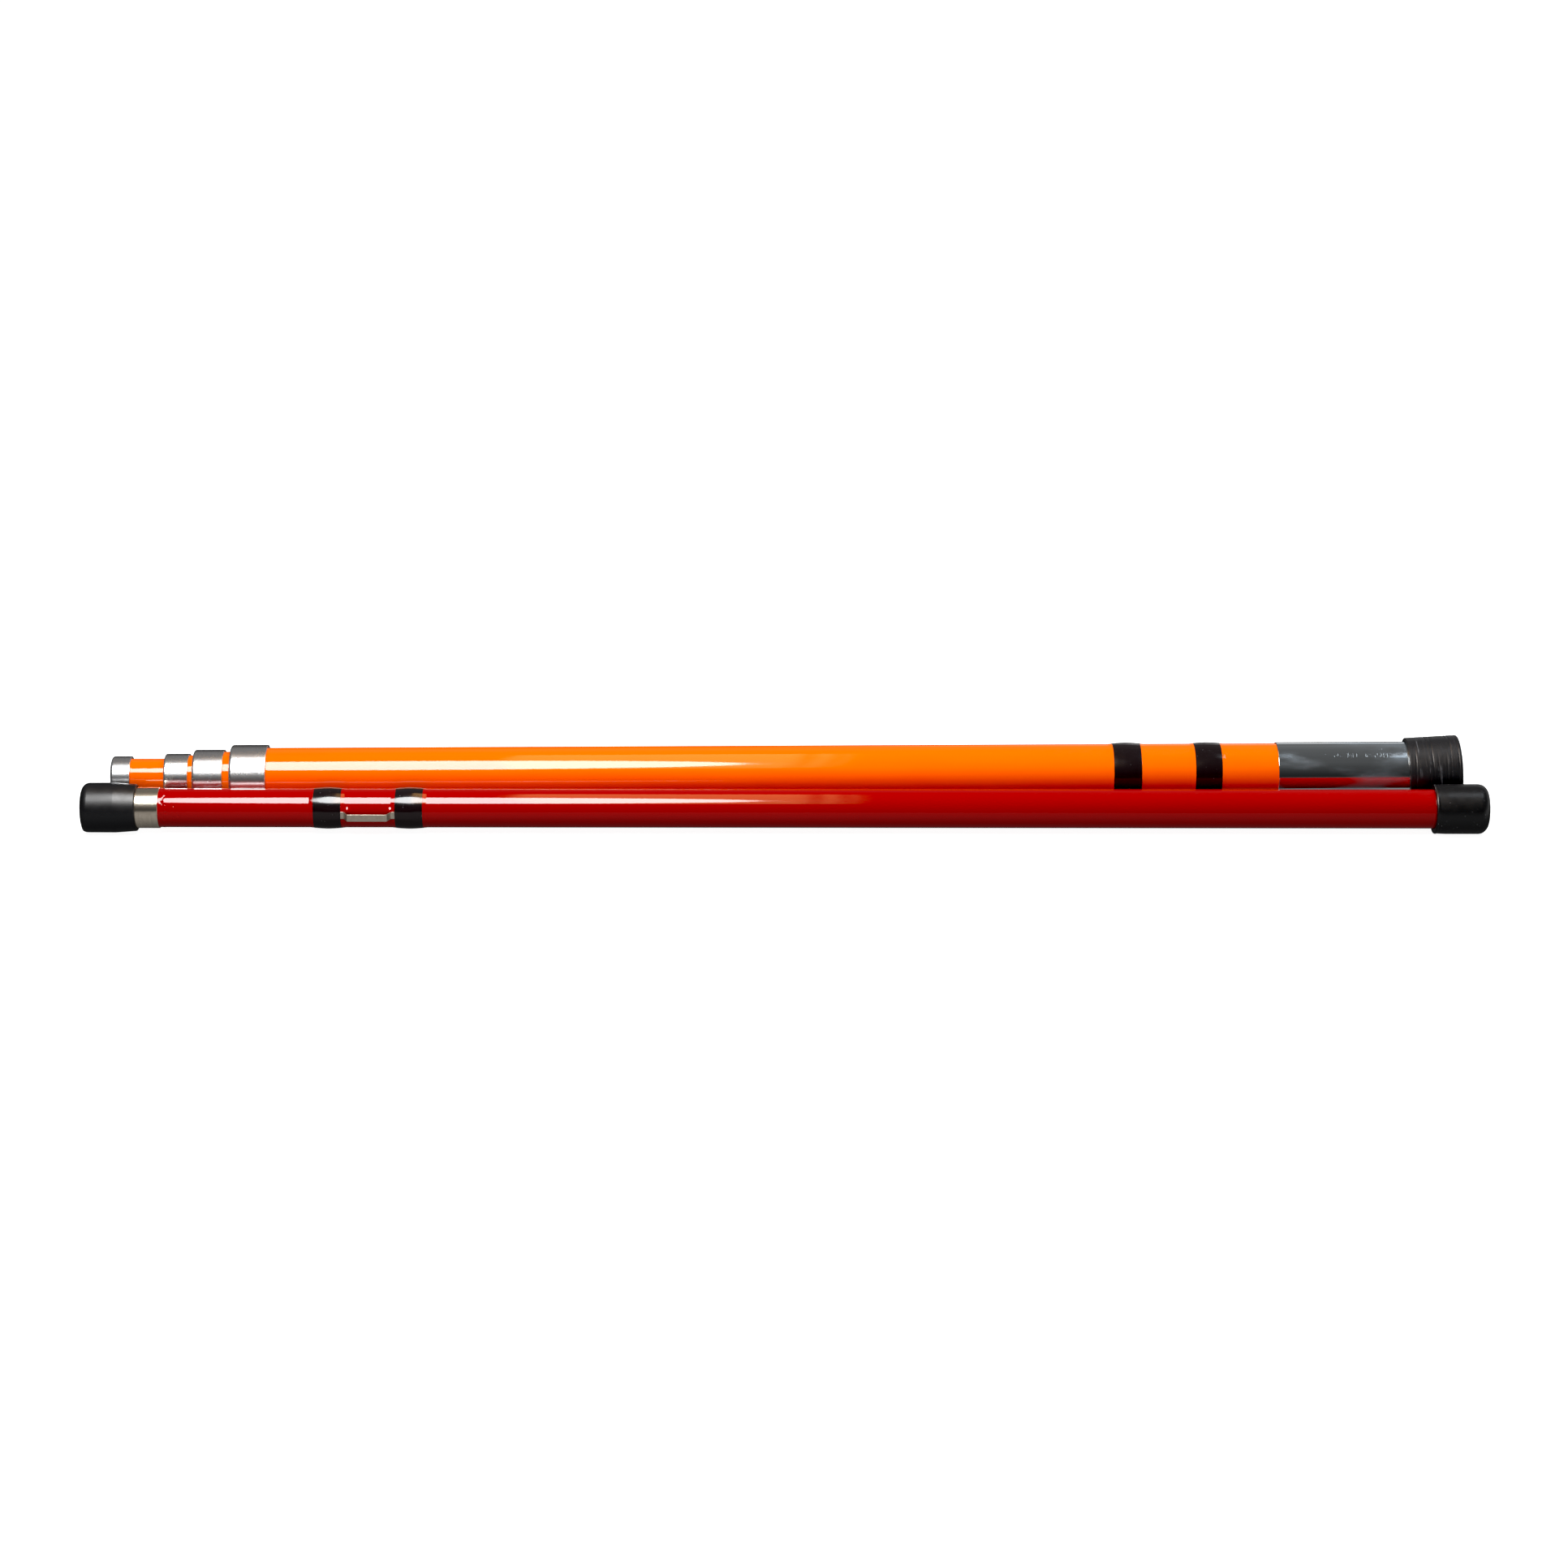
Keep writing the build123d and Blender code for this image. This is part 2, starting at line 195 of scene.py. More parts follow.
def skin(name, grid, pole, ends="joined"):
    """A closed mesh over a grid of points (row, round, xyz). Ends are joined or pointed."""
    rows, around = grid.shape[:2]
    index = np.arange(rows * around).reshape(rows, around)
    points = grid.reshape(-1, 3)
    if ends == "joined":
        index = np.vstack((index, index[:1]))
    else:
        points = np.vstack((grid[0, :1], grid[1:-1].reshape(-1, 3), grid[-1, :1]))
        index = index - around + 1
        index[0] = 0
        index[-1] = len(points) - 1
    right = np.roll(index, -1, axis=1)
    quads = np.stack((index[:-1], right[:-1], right[1:], index[1:]), axis=-1).reshape(-1, 4)
    middle = points.mean(0)
    a, b, c, d = (points[quads[:, k]] - middle for k in range(4))
    volume = np.einsum("ij,ij->", a, np.cross(b, c) + np.cross(c, d)) / 6
    if volume < 0:
        quads = quads[:, ::-1]
    faces = [list(dict.fromkeys(quad)) for quad in quads.tolist()]
    mesh = bpy.data.meshes.new(name)
    mesh.from_pydata(points.tolist(), [], faces)
    mesh.shade_smooth()
    local = (points - pole.origin) @ np.array((pole.way, pole.up, pole.front)).T
    mesh.attributes.new("on_pole", "FLOAT_VECTOR", "POINT").data.foreach_set("vector", local.ravel())
    piece = bpy.data.objects.new(name, mesh)
    bpy.context.scene.collection.objects.link(piece)
    return piece


print("front of the red pole, 10 mm out:",
      place(poles["red"], np.array((0.0,)), np.array((10.0,)), np.array((pi / 2,))).round(4))

# %% [markdown]
# Turning is the same as on a lathe: every point of the outline becomes a row, and every row a circle.
# Whatever isn't round on the real piece is pressed in by a function of station, radius and turn.

# %% Turn an outline
AROUND = 160


def turned(name, pole, profile, ends="joined", shape=None):
    """A skin turned from a profile. shape(station, radius, turn) may press it out of round."""
    turns = np.linspace(0, 2 * pi, AROUND, endpoint=False)
    stations, turns = np.meshgrid(profile[:, 0], turns, indexing="ij")
    radii = np.repeat(profile[:, 1:], AROUND, axis=1)
    if shape:
        stations, radii = shape(stations, radii, turns)
    return skin(name, place(pole, stations, radii, turns), pole, ends)


print("a turned piece has", AROUND, "points in each row")

# %% [markdown]
# Every finished piece stands for one node of the frame: it is seen instead of the node, and moves with
# the same body.


def stand_for(piece, node, *materials):
    """Give a piece its materials, its body and the node that it is seen instead of."""
    for material in materials:
        piece.data.materials.append(material)
    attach(piece, body_of[node])
    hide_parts(node)


# %% [markdown]
# ## Helpers for finishes
#
# Colours are picked as sRGB hex values and turned to the linear values that the renderer works in.
# Pattern sizes are written in millimetres: `per(2)` is the noise scale that gives blotches about 2 mm
# across.

# %% Colours and pattern sizes


def linear(colour):
    """'#rrggbb' in sRGB to linear RGBA."""
    parts = np.array([int(colour[k:k + 2], 16) for k in (1, 3, 5)]) / 255
    parts = np.where(parts <= 0.04045, parts / 12.92, ((parts + 0.055) / 1.055) ** 2.4)
    return (*parts.tolist(), 1.0)


def per(size):
    """Scale of a texture whose features are about size mm across."""
    return 1 / (size * MM)


print("linear mid grey", [round(value, 3) for value in linear("#808080")], "and 2 mm is scale", per(2))

# %% [markdown]
# One function adds a shader node with its settings and whatever feeds it. Every finish starts from one
# Principled shader, and ends by feeding it a tint, a gloss and a bump.

# %% Node helpers
COLOUR_RESULT = 2


def add(tree, kind, feeds=None, **settings):
    """One shader node: settings are its properties, feeds its inputs by name or number."""
    node = tree.nodes.new("ShaderNode" + kind)
    for name, value in settings.items():
        setattr(node, name, value)
    for socket, value in (feeds or {}).items():
        if isinstance(value, bpy.types.NodeSocket):
            tree.links.new(value, node.inputs[socket])
        else:
            node.inputs[socket].default_value = value
    return node


def new_finish(name, **sockets):
    """A material with one Principled shader, the sockets that are the same all over set on it."""
    material = bpy.data.materials.new(name)
    material.use_nodes = True
    tree = material.node_tree
    tree.nodes.clear()
    shader = add(tree, "BsdfPrincipled", {key.replace("_", " "): value for key, value in sockets.items()})
    add(tree, "OutputMaterial", {"Surface": shader.outputs[0]})
    own = add(tree, "Attribute", attribute_name="on_pole").outputs["Vector"]
    return material, tree, shader, own


def feed(tree, shader, tint, gloss, bump):
    """Feed a Mix of two colours, a roughness and a bump to the shader."""
    tree.links.new(tint.outputs[COLOUR_RESULT], shader.inputs["Base Color"])
    tree.links.new(gloss.outputs[0], shader.inputs["Roughness"])
    tree.links.new(bump.outputs[0], shader.inputs["Normal"])


print("a Mix node gives its colour as output number", COLOUR_RESULT)

# %% [markdown]
# ## Gel coat
#
# The tubes are glass fibre in polyester resin, pulled through a die, with a pigmented gel coat that
# cures to a hard gloss. Its index is about 1.5. Two things give it away in a reflection: a slight
# orange peel, about a millimetre or two across, and long faint draw lines, because everything in the
# die was pulled one way. The colour is a blend over the height on the pole: the upper tone is painted
# top light, a lighter tone (yellower on the orange pole) on the side that faces up, where the lamps
# fall most. The orange pole's inner sections are one lighter tone nearly all round, so they have a
# coat of their own.

# %% Gel coat
PEEL = 1.6
DRAW_LINES = 3.0
CLOUDS = 9
ALONG_THE_DIE = (0.12, 1.0, 1.0)
PAINTED_TOP_LIGHT_FROM = 0.62


def gel_coat(name, below, above, radius):
    """A glossy coat in two tones. The lower one turns to the upper one from the height of the axis
    to a set share of the radius, give or take 0.12 in soft clouds. The upper tone is painted top light."""
    material, tree, shader, own = new_finish(name, IOR=1.5, Specular_IOR_Level=0.42)
    drawn = add(tree, "Mapping", {"Vector": own, "Scale": ALONG_THE_DIE}).outputs[0]
    cloud = add(tree, "TexNoise", {"Vector": drawn, "Scale": per(CLOUDS), "Detail": 3.0, "Roughness": 0.6})
    height = add(tree, "SeparateXYZ", {0: own}).outputs[1]
    # painted top light: the upper tone takes over towards the top of the pole
    blend = add(tree, "MapRange", {"Value": height, "From Max": PAINTED_TOP_LIGHT_FROM * radius * MM})
    uneven = add(tree, "MapRange", {"Value": cloud.outputs[0], "To Min": -0.12, "To Max": 0.12})
    share = add(tree, "Math", {0: blend.outputs[0], 1: uneven.outputs[0]},
                operation="ADD", use_clamp=True)
    tint = add(tree, "Mix", {0: share.outputs[0], 6: linear(below), 7: linear(above)},
               data_type="RGBA")
    gloss = add(tree, "MapRange", {"Value": cloud.outputs[0], "To Min": 0.04, "To Max": 0.08})
    lines = add(tree, "TexNoise", {"Vector": drawn, "Scale": per(DRAW_LINES), "Detail": 1.0})
    peel = add(tree, "TexNoise", {"Vector": own, "Scale": per(PEEL), "Detail": 2.0})
    bump = add(tree, "Bump", {"Height": lines.outputs[0], "Distance": 0.01 * MM, "Strength": 0.5})
    bump = add(tree, "Bump", {"Height": peel.outputs[0], "Distance": 0.005 * MM, "Strength": 0.6,
                              "Normal": bump.outputs[0]})
    feed(tree, shader, tint, gloss, bump)
    return material


# the upper tone of each coat is painted top light, lighter on the side that faces up
tube_radius = {colour: span(f"{colour}_outer_tube").outer for colour in poles}
orange_gel_coat = gel_coat("orange_gel_coat", "#d62400", "#d25800", tube_radius["orange"])
red_gel_coat = gel_coat("red_gel_coat", "#7f0000", "#830000", tube_radius["red"])
section_coat = gel_coat("orange_section_coat", "#d24c00", "#d25800", tube_radius["orange"])
print("gel coats on tubes of radius", tube_radius)

# %% [markdown]
# The bore isn't coated, so the bare laminate shows there: resin the colour of weak tea over glass
# rovings that run along the tube. It is seen only at the mouths and when a section is drawn out.

# %% Bare laminate
ROVING = 1.2


def bare_laminate():
    """Strands 33 times as long as wide, in two tones of resin, raised by 0.08 mm."""
    material, tree, shader, own = new_finish("bare_glass_laminate", IOR=1.53, Roughness=0.38)
    rovings = add(tree, "Mapping", {"Vector": own, "Scale": (0.03, 1.0, 1.0)}).outputs[0]
    strands = add(tree, "TexNoise", {"Vector": rovings, "Scale": per(ROVING), "Detail": 3.0})
    tint = add(tree, "Mix", {0: strands.outputs[0], 6: linear("#8a7a48"), 7: linear("#c9bd92")},
               data_type="RGBA")
    bump = add(tree, "Bump", {"Height": strands.outputs[0], "Distance": 0.08 * MM})
    tree.links.new(tint.outputs[COLOUR_RESULT], shader.inputs["Base Color"])
    tree.links.new(bump.outputs[0], shader.inputs["Normal"])
    return material


laminate = bare_laminate()
print(laminate.name, "rovings", ROVING, "mm apart")

# %% [markdown]
# ## Turned, plated and polished metal
#
# The collars are aluminium tube faced on a lathe, so their marks run round the piece: the pattern
# changes quickly along the station and hardly at all round the turn. Real turning marks are about
# 0.1 mm apart, too fine to show, so they are drawn twelve times as coarse. The mouth ring is the same
# but nickel plated, which is warmer and darker.

# %% Turned metal
TURNING = 1.2
WEAR = 5


def turned_metal(name, clean, dull, rough, handled):
    """Marks round the piece, and worn patches that are handled (0 to 1) duller."""
    material, tree, shader, own = new_finish(name, Metallic=1.0)
    rings = add(tree, "Mapping", {"Vector": own, "Scale": (1.0, 0.02, 0.02)}).outputs[0]
    marks = add(tree, "TexNoise", {"Vector": rings, "Scale": per(TURNING), "Detail": 2.0})
    worn = add(tree, "TexNoise", {"Vector": own, "Scale": per(WEAR), "Detail": 4.0, "Roughness": 0.6})
    patch = add(tree, "MapRange", {"Value": worn.outputs[0], "From Min": 0.42, "From Max": 0.72,
                                   "To Max": handled})
    streak = add(tree, "MapRange", {"Value": marks.outputs[0], "From Min": 0.3, "From Max": 0.7,
                                    "To Max": 0.5})
    share = add(tree, "Math", {0: patch.outputs[0], 1: streak.outputs[0]}, operation="MAXIMUM")
    tint = add(tree, "Mix", {0: share.outputs[0], 6: linear(clean), 7: linear(dull)}, data_type="RGBA")
    grain = add(tree, "MapRange", {"Value": share.outputs[0], "To Min": rough - 0.02,
                                   "To Max": rough + 0.04})
    bump = add(tree, "Bump", {"Height": marks.outputs[0], "Distance": 0.004 * MM, "Strength": 0.5})
    feed(tree, shader, tint, grain, bump)
    return material


aluminium = turned_metal("turned_aluminium", "#f0f1f4", "#d3d3d1", 0.26, 0.8)
nickel = turned_metal("nickel_plated_ring", "#e6dac8", "#c9bcac", 0.23, 0.8)
print(aluminium.name, "and", nickel.name, "with marks", TURNING, "mm apart")

# %% [markdown]
# The steel sleeve at the butt was polished and then handled. A smudge is a thin greasy film, so it is
# rougher, a little bluer and a little less of a mirror than clean steel. Scratches are thin raised
# lines at a slant, and the polish left the whole surface very slightly wavy.

# %% Polished steel
SCRATCH = 0.35
SMUDGE = 18
WAVINESS = 7


def polished_steel():
    """One smudge pattern steers tint, roughness and metallic. Scratches and waves are two bumps."""
    material, tree, shader, own = new_finish("polished_steel", Metallic=1.0)
    smear = add(tree, "Mapping", {"Vector": own, "Scale": (0.35, 1.0, 1.0)}).outputs[0]
    smudge = add(tree, "TexNoise", {"Vector": smear, "Scale": per(SMUDGE), "Detail": 4.0, "Roughness": 0.5})
    patch = add(tree, "MapRange", {"Value": smudge.outputs[0], "From Min": 0.46, "From Max": 0.66},
                interpolation_type="SMOOTHSTEP")
    tint = add(tree, "Mix", {0: patch.outputs[0], 6: linear("#dfe4e7"), 7: linear("#c6d2dc")},
               data_type="RGBA")
    haze = add(tree, "MapRange", {"Value": patch.outputs[0], "To Min": 0.06, "To Max": 0.20})
    film = add(tree, "MapRange", {"Value": patch.outputs[0], "To Min": 1.0, "To Max": 0.94})
    slant = add(tree, "Mapping", {"Vector": own, "Rotation": (0.3, 0.5, 0.4),
                                  "Scale": (1.0, 0.06, 0.06)}).outputs[0]
    thin = add(tree, "TexNoise", {"Vector": slant, "Scale": per(SCRATCH), "Detail": 0.0})
    line = add(tree, "MapRange", {"Value": thin.outputs[0], "From Min": 0.70, "From Max": 0.78})
    bump = add(tree, "Bump", {"Height": line.outputs[0], "Distance": 0.01 * MM, "Strength": 0.4})
    waves = add(tree, "TexNoise", {"Vector": smear, "Scale": per(WAVINESS), "Detail": 1.0})
    bump = add(tree, "Bump", {"Height": waves.outputs[0], "Distance": 0.02 * MM, "Strength": 0.5,
                              "Normal": bump.outputs[0]})
    feed(tree, shader, tint, haze, bump)
    tree.links.new(film.outputs[0], shader.inputs["Metallic"])
    return material


steel = polished_steel()
print(steel.name, "with smudges about", SMUDGE, "mm across")

# %% [markdown]
# ## Rubber, vinyl and tape
#
# All four are black, and only their gloss tells them apart. The mouth cap is moulded rubber, matt
# with faint mould grain. The orange pole's cap is softer rubber, creased by being pushed on, and
# scuffed grey along the creases. The red butt cap was dipped in liquid vinyl, so it has a soft even
# shine and some dust. The tape bands were lacquered over, and shine like glass.

# %% Black rubbers and vinyls
BLOTCH = 6
DUST = 1.3
FOLD = 2.2


def black_soft(name, colour, scuff, rough, grain, dust, crease=0.0):
    """A black soft finish: grain in mm, dust and creases as shares of how strongly they show.

    The scuffed tone shows on specks of dust, and where a fold's ridge meets a blotch."""
    material, tree, shader, own = new_finish(name, IOR=1.5)
    cloud = add(tree, "TexNoise", {"Vector": own, "Scale": per(BLOTCH), "Detail": 5.0, "Roughness": 0.65})
    blotch = add(tree, "MapRange", {"Value": cloud.outputs[0], "From Min": 0.35, "From Max": 0.7})
    specks = add(tree, "TexNoise", {"Vector": own, "Scale": per(DUST), "Detail": 1.0})
    speck = add(tree, "MapRange", {"Value": specks.outputs[0], "From Min": 0.76, "From Max": 0.8,
                                   "To Max": dust})
    rings = add(tree, "Mapping", {"Vector": own, "Scale": (1.0, 0.10, 0.10)}).outputs[0]
    folds = add(tree, "TexNoise", {"Vector": rings, "Scale": per(FOLD), "Detail": 2.0, "Distortion": 0.4})
    ridge = add(tree, "MapRange", {"Value": folds.outputs[0], "From Min": 0.60, "From Max": 0.72,
                                   "To Max": crease})
    worn = add(tree, "Math", {0: ridge.outputs[0], 1: blotch.outputs[0]}, operation="MULTIPLY")
    light = add(tree, "Math", {0: worn.outputs[0], 1: speck.outputs[0]}, operation="MAXIMUM")
    tint = add(tree, "Mix", {0: light.outputs[0], 6: linear(colour), 7: linear(scuff)}, data_type="RGBA")
    gloss = add(tree, "MapRange", {"Value": cloud.outputs[0], "To Min": rough - 0.1,
                                   "To Max": rough + 0.1})
    fine = add(tree, "TexNoise", {"Vector": own, "Scale": per(grain), "Detail": 3.0})
    bump = add(tree, "Bump", {"Height": fine.outputs[0], "Distance": 0.05 * MM, "Strength": 0.5})
    bump = add(tree, "Bump", {"Height": folds.outputs[0], "Distance": 0.3 * MM, "Strength": crease,
                              "Normal": bump.outputs[0]})
    feed(tree, shader, tint, gloss, bump)
    return material


cap_rubber = black_soft("moulded_rubber", "#0c0c0e", "#4c4c50", 0.39, 1.0, 0.2)
creased_rubber = black_soft("creased_rubber", "#141416", "#6a6a6e", 0.42, 0.9, 0.3, crease=0.5)
dipped_vinyl = black_soft("dipped_vinyl", "#0c0c0d", "#8a8a8c", 0.36, 2.4, 0.8)
lacquered_tape = black_soft("lacquered_tape", "#150f10", "#77777a", 0.14, 2.5, 0.6)
print("four blacks:", cap_rubber.name, creased_rubber.name, dipped_vinyl.name, lacquered_tape.name)

# %% [markdown]
# ## Rolled strip
#
# The strap loops are rolled stainless strip, satin and a little warm. Rolling leaves fine lines along
# the strip, which make the gloss uneven, and handling has stained it in small patches.

# %% Satin strip
ROLLED_LINES = 0.5
STAIN = 3


def satin_strip():
    """Lines 20 times as long as wide steer roughness and bump; stains steer the tint."""
    material, tree, shader, own = new_finish("rolled_stainless_strip", Metallic=1.0)
    rolled = add(tree, "Mapping", {"Vector": own, "Scale": (0.05, 1.0, 1.0)}).outputs[0]
    lines = add(tree, "TexNoise", {"Vector": rolled, "Scale": per(ROLLED_LINES), "Detail": 3.0})
    stain = add(tree, "TexNoise", {"Vector": own, "Scale": per(STAIN), "Detail": 4.0})
    tint = add(tree, "Mix", {0: stain.outputs[0], 6: linear("#e2d7c8"), 7: linear("#bdb1a1")},
               data_type="RGBA")
    gloss = add(tree, "MapRange", {"Value": lines.outputs[0], "To Min": 0.30, "To Max": 0.46})
    bump = add(tree, "Bump", {"Height": lines.outputs[0], "Distance": 0.02 * MM, "Strength": 0.6})
    feed(tree, shader, tint, gloss, bump)
    return material


strip = satin_strip()
print(strip.name, "with lines", ROLLED_LINES, "mm apart")

# %% [markdown]
# ## Nylon, zinc and brass
#
# Inside each pole the locks are nylon plugs and expanders, zinc-plated screws and brass nuts. They
# are seen only when a section is taken right out, so they keep the frame's own meshes, and their
# patterns read the object's coordinates.

# %% Lock finishes


def lock_finish(name, bright, dull, size, low, high, dent, **sockets):
    """Two tones in blotches of size mm, roughness from low to high, dents in mm."""
    material, tree, shader, _ = new_finish(name, **sockets)
    where = add(tree, "TexCoord").outputs["Object"]
    cloud = add(tree, "TexNoise", {"Vector": where, "Scale": per(size), "Detail": 4.0})
    tint = add(tree, "Mix", {0: cloud.outputs[0], 6: linear(bright), 7: linear(dull)}, data_type="RGBA")
    gloss = add(tree, "MapRange", {"Value": cloud.outputs[0], "To Min": low, "To Max": high})
    bump = add(tree, "Bump", {"Height": cloud.outputs[0], "Distance": dent * MM})
    feed(tree, shader, tint, gloss, bump)
    return material


locks = {
    "lock_plug": lock_finish("natural_nylon", "#e8e2d0", "#d6ceb8", 4, 0.35, 0.5, 0.03, IOR=1.53),
    "expander": lock_finish("black_nylon", "#26262a", "#161618", 3, 0.3, 0.5, 0.04, IOR=1.53),
    "lock_screw": lock_finish("zinc_plate", "#c9ccd0", "#9fa4ac", 2, 0.25, 0.45, 0.02, Metallic=1.0),
    "cone_nut": lock_finish("turned_brass", "#d8b45a", "#b08a3c", 3, 0.22, 0.4, 0.02, Metallic=1.0),
}
for name, node in nodes.items():
    for kind, material in locks.items():
        if kind in name:
            node.data.materials.clear()
            node.data.materials.append(material)
print("finishes on the locks:", ", ".join(material.name for material in locks.values()))

# %% [markdown]
# ## Tubes
#
# A tube is the simplest thing on a lathe, but three things make these look handmade. First, each tape
# band was wound on and lacquered over, so the band and a few millimetres of tube on each side of it
# form one low barrel: highest in the middle of the tape, and meeting the tube at a visible foot. One
# function gives the height of that barrel to both the tube and the tape.

# %% The barrel under and beside each tape
FILM = 3.0
BARREL_HEIGHT = 0.9
BARREL_POWER = 1.6
tapes = {
    colour: [span(f"{colour}_tape_{end}") for end in ("front", "rear")] for colour in ("red", "orange")
}


def barrel(stations, tape):
    """Height * (1 - |x| ** power), with x from -1 to 1 across the tape and the film beside it."""
    middle = (tape.front + tape.rear) / 2
    half = (tape.rear - tape.front) / 2 + FILM
    return BARREL_HEIGHT * np.clip(1 - np.abs((stations - middle) / half) ** BARREL_POWER, 0, None)


tape = tapes["red"][0]
print("the barrel stands", barrel(np.array((tape.front, tape.front + 5)), tape).round(2), "mm high",
      "at a tape's edge and 5 mm in")

# %% [markdown]
# The strap loop comes last, but its place matters here: no film lies on the tube beside its tabs.
# These are the sizes that the mechanical model gives the strip, in millimetres.

# %% Sizes of the bent strip
STRIP_WIDTH = 5.4
STRIP_THICKNESS = 0.6
STRIP_STAND_OFF = 5.4
STRIP_BEND = 1.2
TAB_UNDER_TAPE = 13.0
TAB_BEDDING = 0.15
TAB_SHOWING = 2.6
LEG_RUN = 3.0
LOOP_TURN = {"red": radians(85), "orange": radians(-85)}
BARE_BESIDE_TAB = 1.0
BARE_EDGE = 0.8


def turns_from(turns, middle):
    """The angle from middle the short way round, between half a turn back and half a turn on."""
    return (turns - middle + pi) % (2 * pi) - pi


def tab_mask(colour, radius, turns):
    """1 beside the tab of the loop, where no film lies on the tube, fading to 0 round the tube."""
    aside = np.abs(turns_from(turns, LOOP_TURN[colour])) * radius
    return np.clip((STRIP_WIDTH / 2 + BARE_BESIDE_TAB - aside) / BARE_EDGE, 0, 1)


print("bare beside the red loop's middle and 90 degrees on:",
      tab_mask("red", tube_radius["red"], LOOP_TURN["red"] + np.array((0, pi / 2))))

# %% [markdown]
# Second, the lacquer left a drop beside each bend of the loop. Third, the gel coat near the ring is
# spoilt by overspray from when the ring was bonded on: small pits and a few raised grains, fewer and
# fewer along the tube. A drop and a pit are both a round hill, only one of them is upside down.

# %% Drops and pits
DROP_SIZE = 2.1
DROP_HEIGHT = 1.0
DROP_ASIDE = 3.2
DROPS_INWARDS = (2.4, 0.8)
PITS = 60
PIT_SIZE = 0.65
PIT_DEPTH = 0.22
PIT_RUN = 7.0
FIRST_PIT = 1.5
ring_rear = span("red_collar_1").rear
draw = np.random.default_rng(11)
pits = list(zip(
    ring_rear + FIRST_PIT + draw.exponential(PIT_RUN / 2, PITS),
    draw.uniform(0, 2 * pi, PITS),
    PIT_SIZE * draw.uniform(0.6, 1.2, PITS),
    PIT_DEPTH * draw.choice((-1.0, -1.0, 0.8), PITS),
))


def hill(along, aside, size):
    """exp(-(along ** 2 + aside ** 2) / size ** 2): 1 on top, about a third at the distance size."""
    return np.exp(-(along ** 2 + aside ** 2) / size ** 2)


def drop_stations(colour):
    """The two drops lie a little inwards of the bends of the loop, the front one more so."""
    front, rear = tapes[colour]
    return (front.rear + TAB_SHOWING + DROPS_INWARDS[0], rear.front - TAB_SHOWING - DROPS_INWARDS[1])


print("drops at", [round(drop, 1) for drop in drop_stations("red")], "mm, and", len(pits), "pits")

# %% [markdown]
# The outside of an outer tube is a plain cylinder plus all of these heights. Rows are added to its
# outline wherever the height changes fast, and nowhere else. Under the tape the tube stays a little
# lower, so that the two surfaces never cross.

# %% The outside of an outer tube
EDGE = 0.25
UNDER_TAPE = 0.3
FOOT = 0.3
PIT_ROWS = 0.3


def tube_shape(colour, outer):
    """Film beside each tape, less what the tape covers, plus the two drops and the pits."""
    front, rear = tapes[colour]

    def shape(stations, radii, turns):
        between = (stations > front.rear) & (stations < rear.front)
        height = barrel(stations, front) + barrel(stations, rear)
        height = height * (1 - tab_mask(colour, outer, turns) * between)
        for tape in (front, rear):
            covered = (stations > tape.front + 0.1) & (stations < tape.rear - 0.1)
            height = height - UNDER_TAPE * covered
        aside = turns_from(turns, LOOP_TURN[colour]) * outer + np.sign(LOOP_TURN[colour]) * DROP_ASIDE
        for drop in drop_stations(colour):
            height = height + DROP_HEIGHT * hill(stations - drop, aside, DROP_SIZE)
        for station, turn, size, depth in pits if colour == "red" else ():
            height = height + depth * hill(stations - station, turns_from(turns, turn) * outer, size)
        return stations, np.where(radii > outer - EDGE, radii + height, radii)

    return shape


def detail_stations(colour):
    """Rows at each tape, each drop and the pits, with no two the same."""
    rows = [drop + np.linspace(-4.5, 4.5, 25) for drop in drop_stations(colour)]
    for tape in tapes[colour]:
        rows.append(np.linspace(tape.front - FILM - FOOT, tape.front, 14))
        rows.append(np.linspace(tape.rear, tape.rear + FILM + FOOT, 14))
        rows.append(np.linspace(tape.front + 0.2, tape.rear - 0.2, 8))
    if colour == "red":
        rows.append(ring_rear + np.arange(PIT_ROWS, 3.5 * PIT_RUN, PIT_ROWS))
    return np.unique(np.concatenate(rows).round(2))


print("extra rows:", {colour: len(detail_stations(colour)) for colour in tapes})

# %% [markdown]
# Each tube is one closed skin, outside and bore together, with the gel coat on the faces outside the
# middle of its wall and bare laminate on the rest.

# %% Turn the tubes


def bare_inside(piece, pole, radius):
    """Faces nearer to the axis than the radius, in mm, take the second material."""
    mesh = piece.data
    centres = np.empty(len(mesh.polygons) * 3, np.float32)
    mesh.polygons.foreach_get("center", centres)
    centres = centres.reshape(-1, 3) - pole.origin
    out = np.linalg.norm(centres - (centres @ pole.way)[:, None] * pole.way, axis=1)
    mesh.polygons.foreach_set("material_index", (out < radius * MM).astype(np.int32))


def make_tube(node, material):
    """A tube turned from its own span, coated outside and bare in the bore."""
    colour = node.split("_")[0]
    size = span(node)
    outer_tube = node.endswith("outer_tube")
    extra = detail_stations(colour) if outer_tube else ()
    corners = [(size.front, size.outer, EDGE)]
    corners += [(station, size.outer, 0) for station in extra]
    corners += [(size.rear, size.outer, EDGE), (size.rear, size.inner, EDGE)]
    corners += [(size.front, size.inner, EDGE)]
    shape = tube_shape(colour, size.outer) if outer_tube else None
    piece = turned(f"{node}_moulding", poles[colour], outline(corners), shape=shape)
    stand_for(piece, node, material, laminate)
    bare_inside(piece, poles[colour], (size.inner + size.outer) / 2)
    return piece


for node in sorted(nodes):
    if node.endswith("outer_tube") or "_section_" in node:
        orange_coat = orange_gel_coat if node == "orange_outer_tube" else section_coat
        tube = make_tube(node, red_gel_coat if node.startswith("red") else orange_coat)
        print(node, len(tube.data.polygons), "faces")

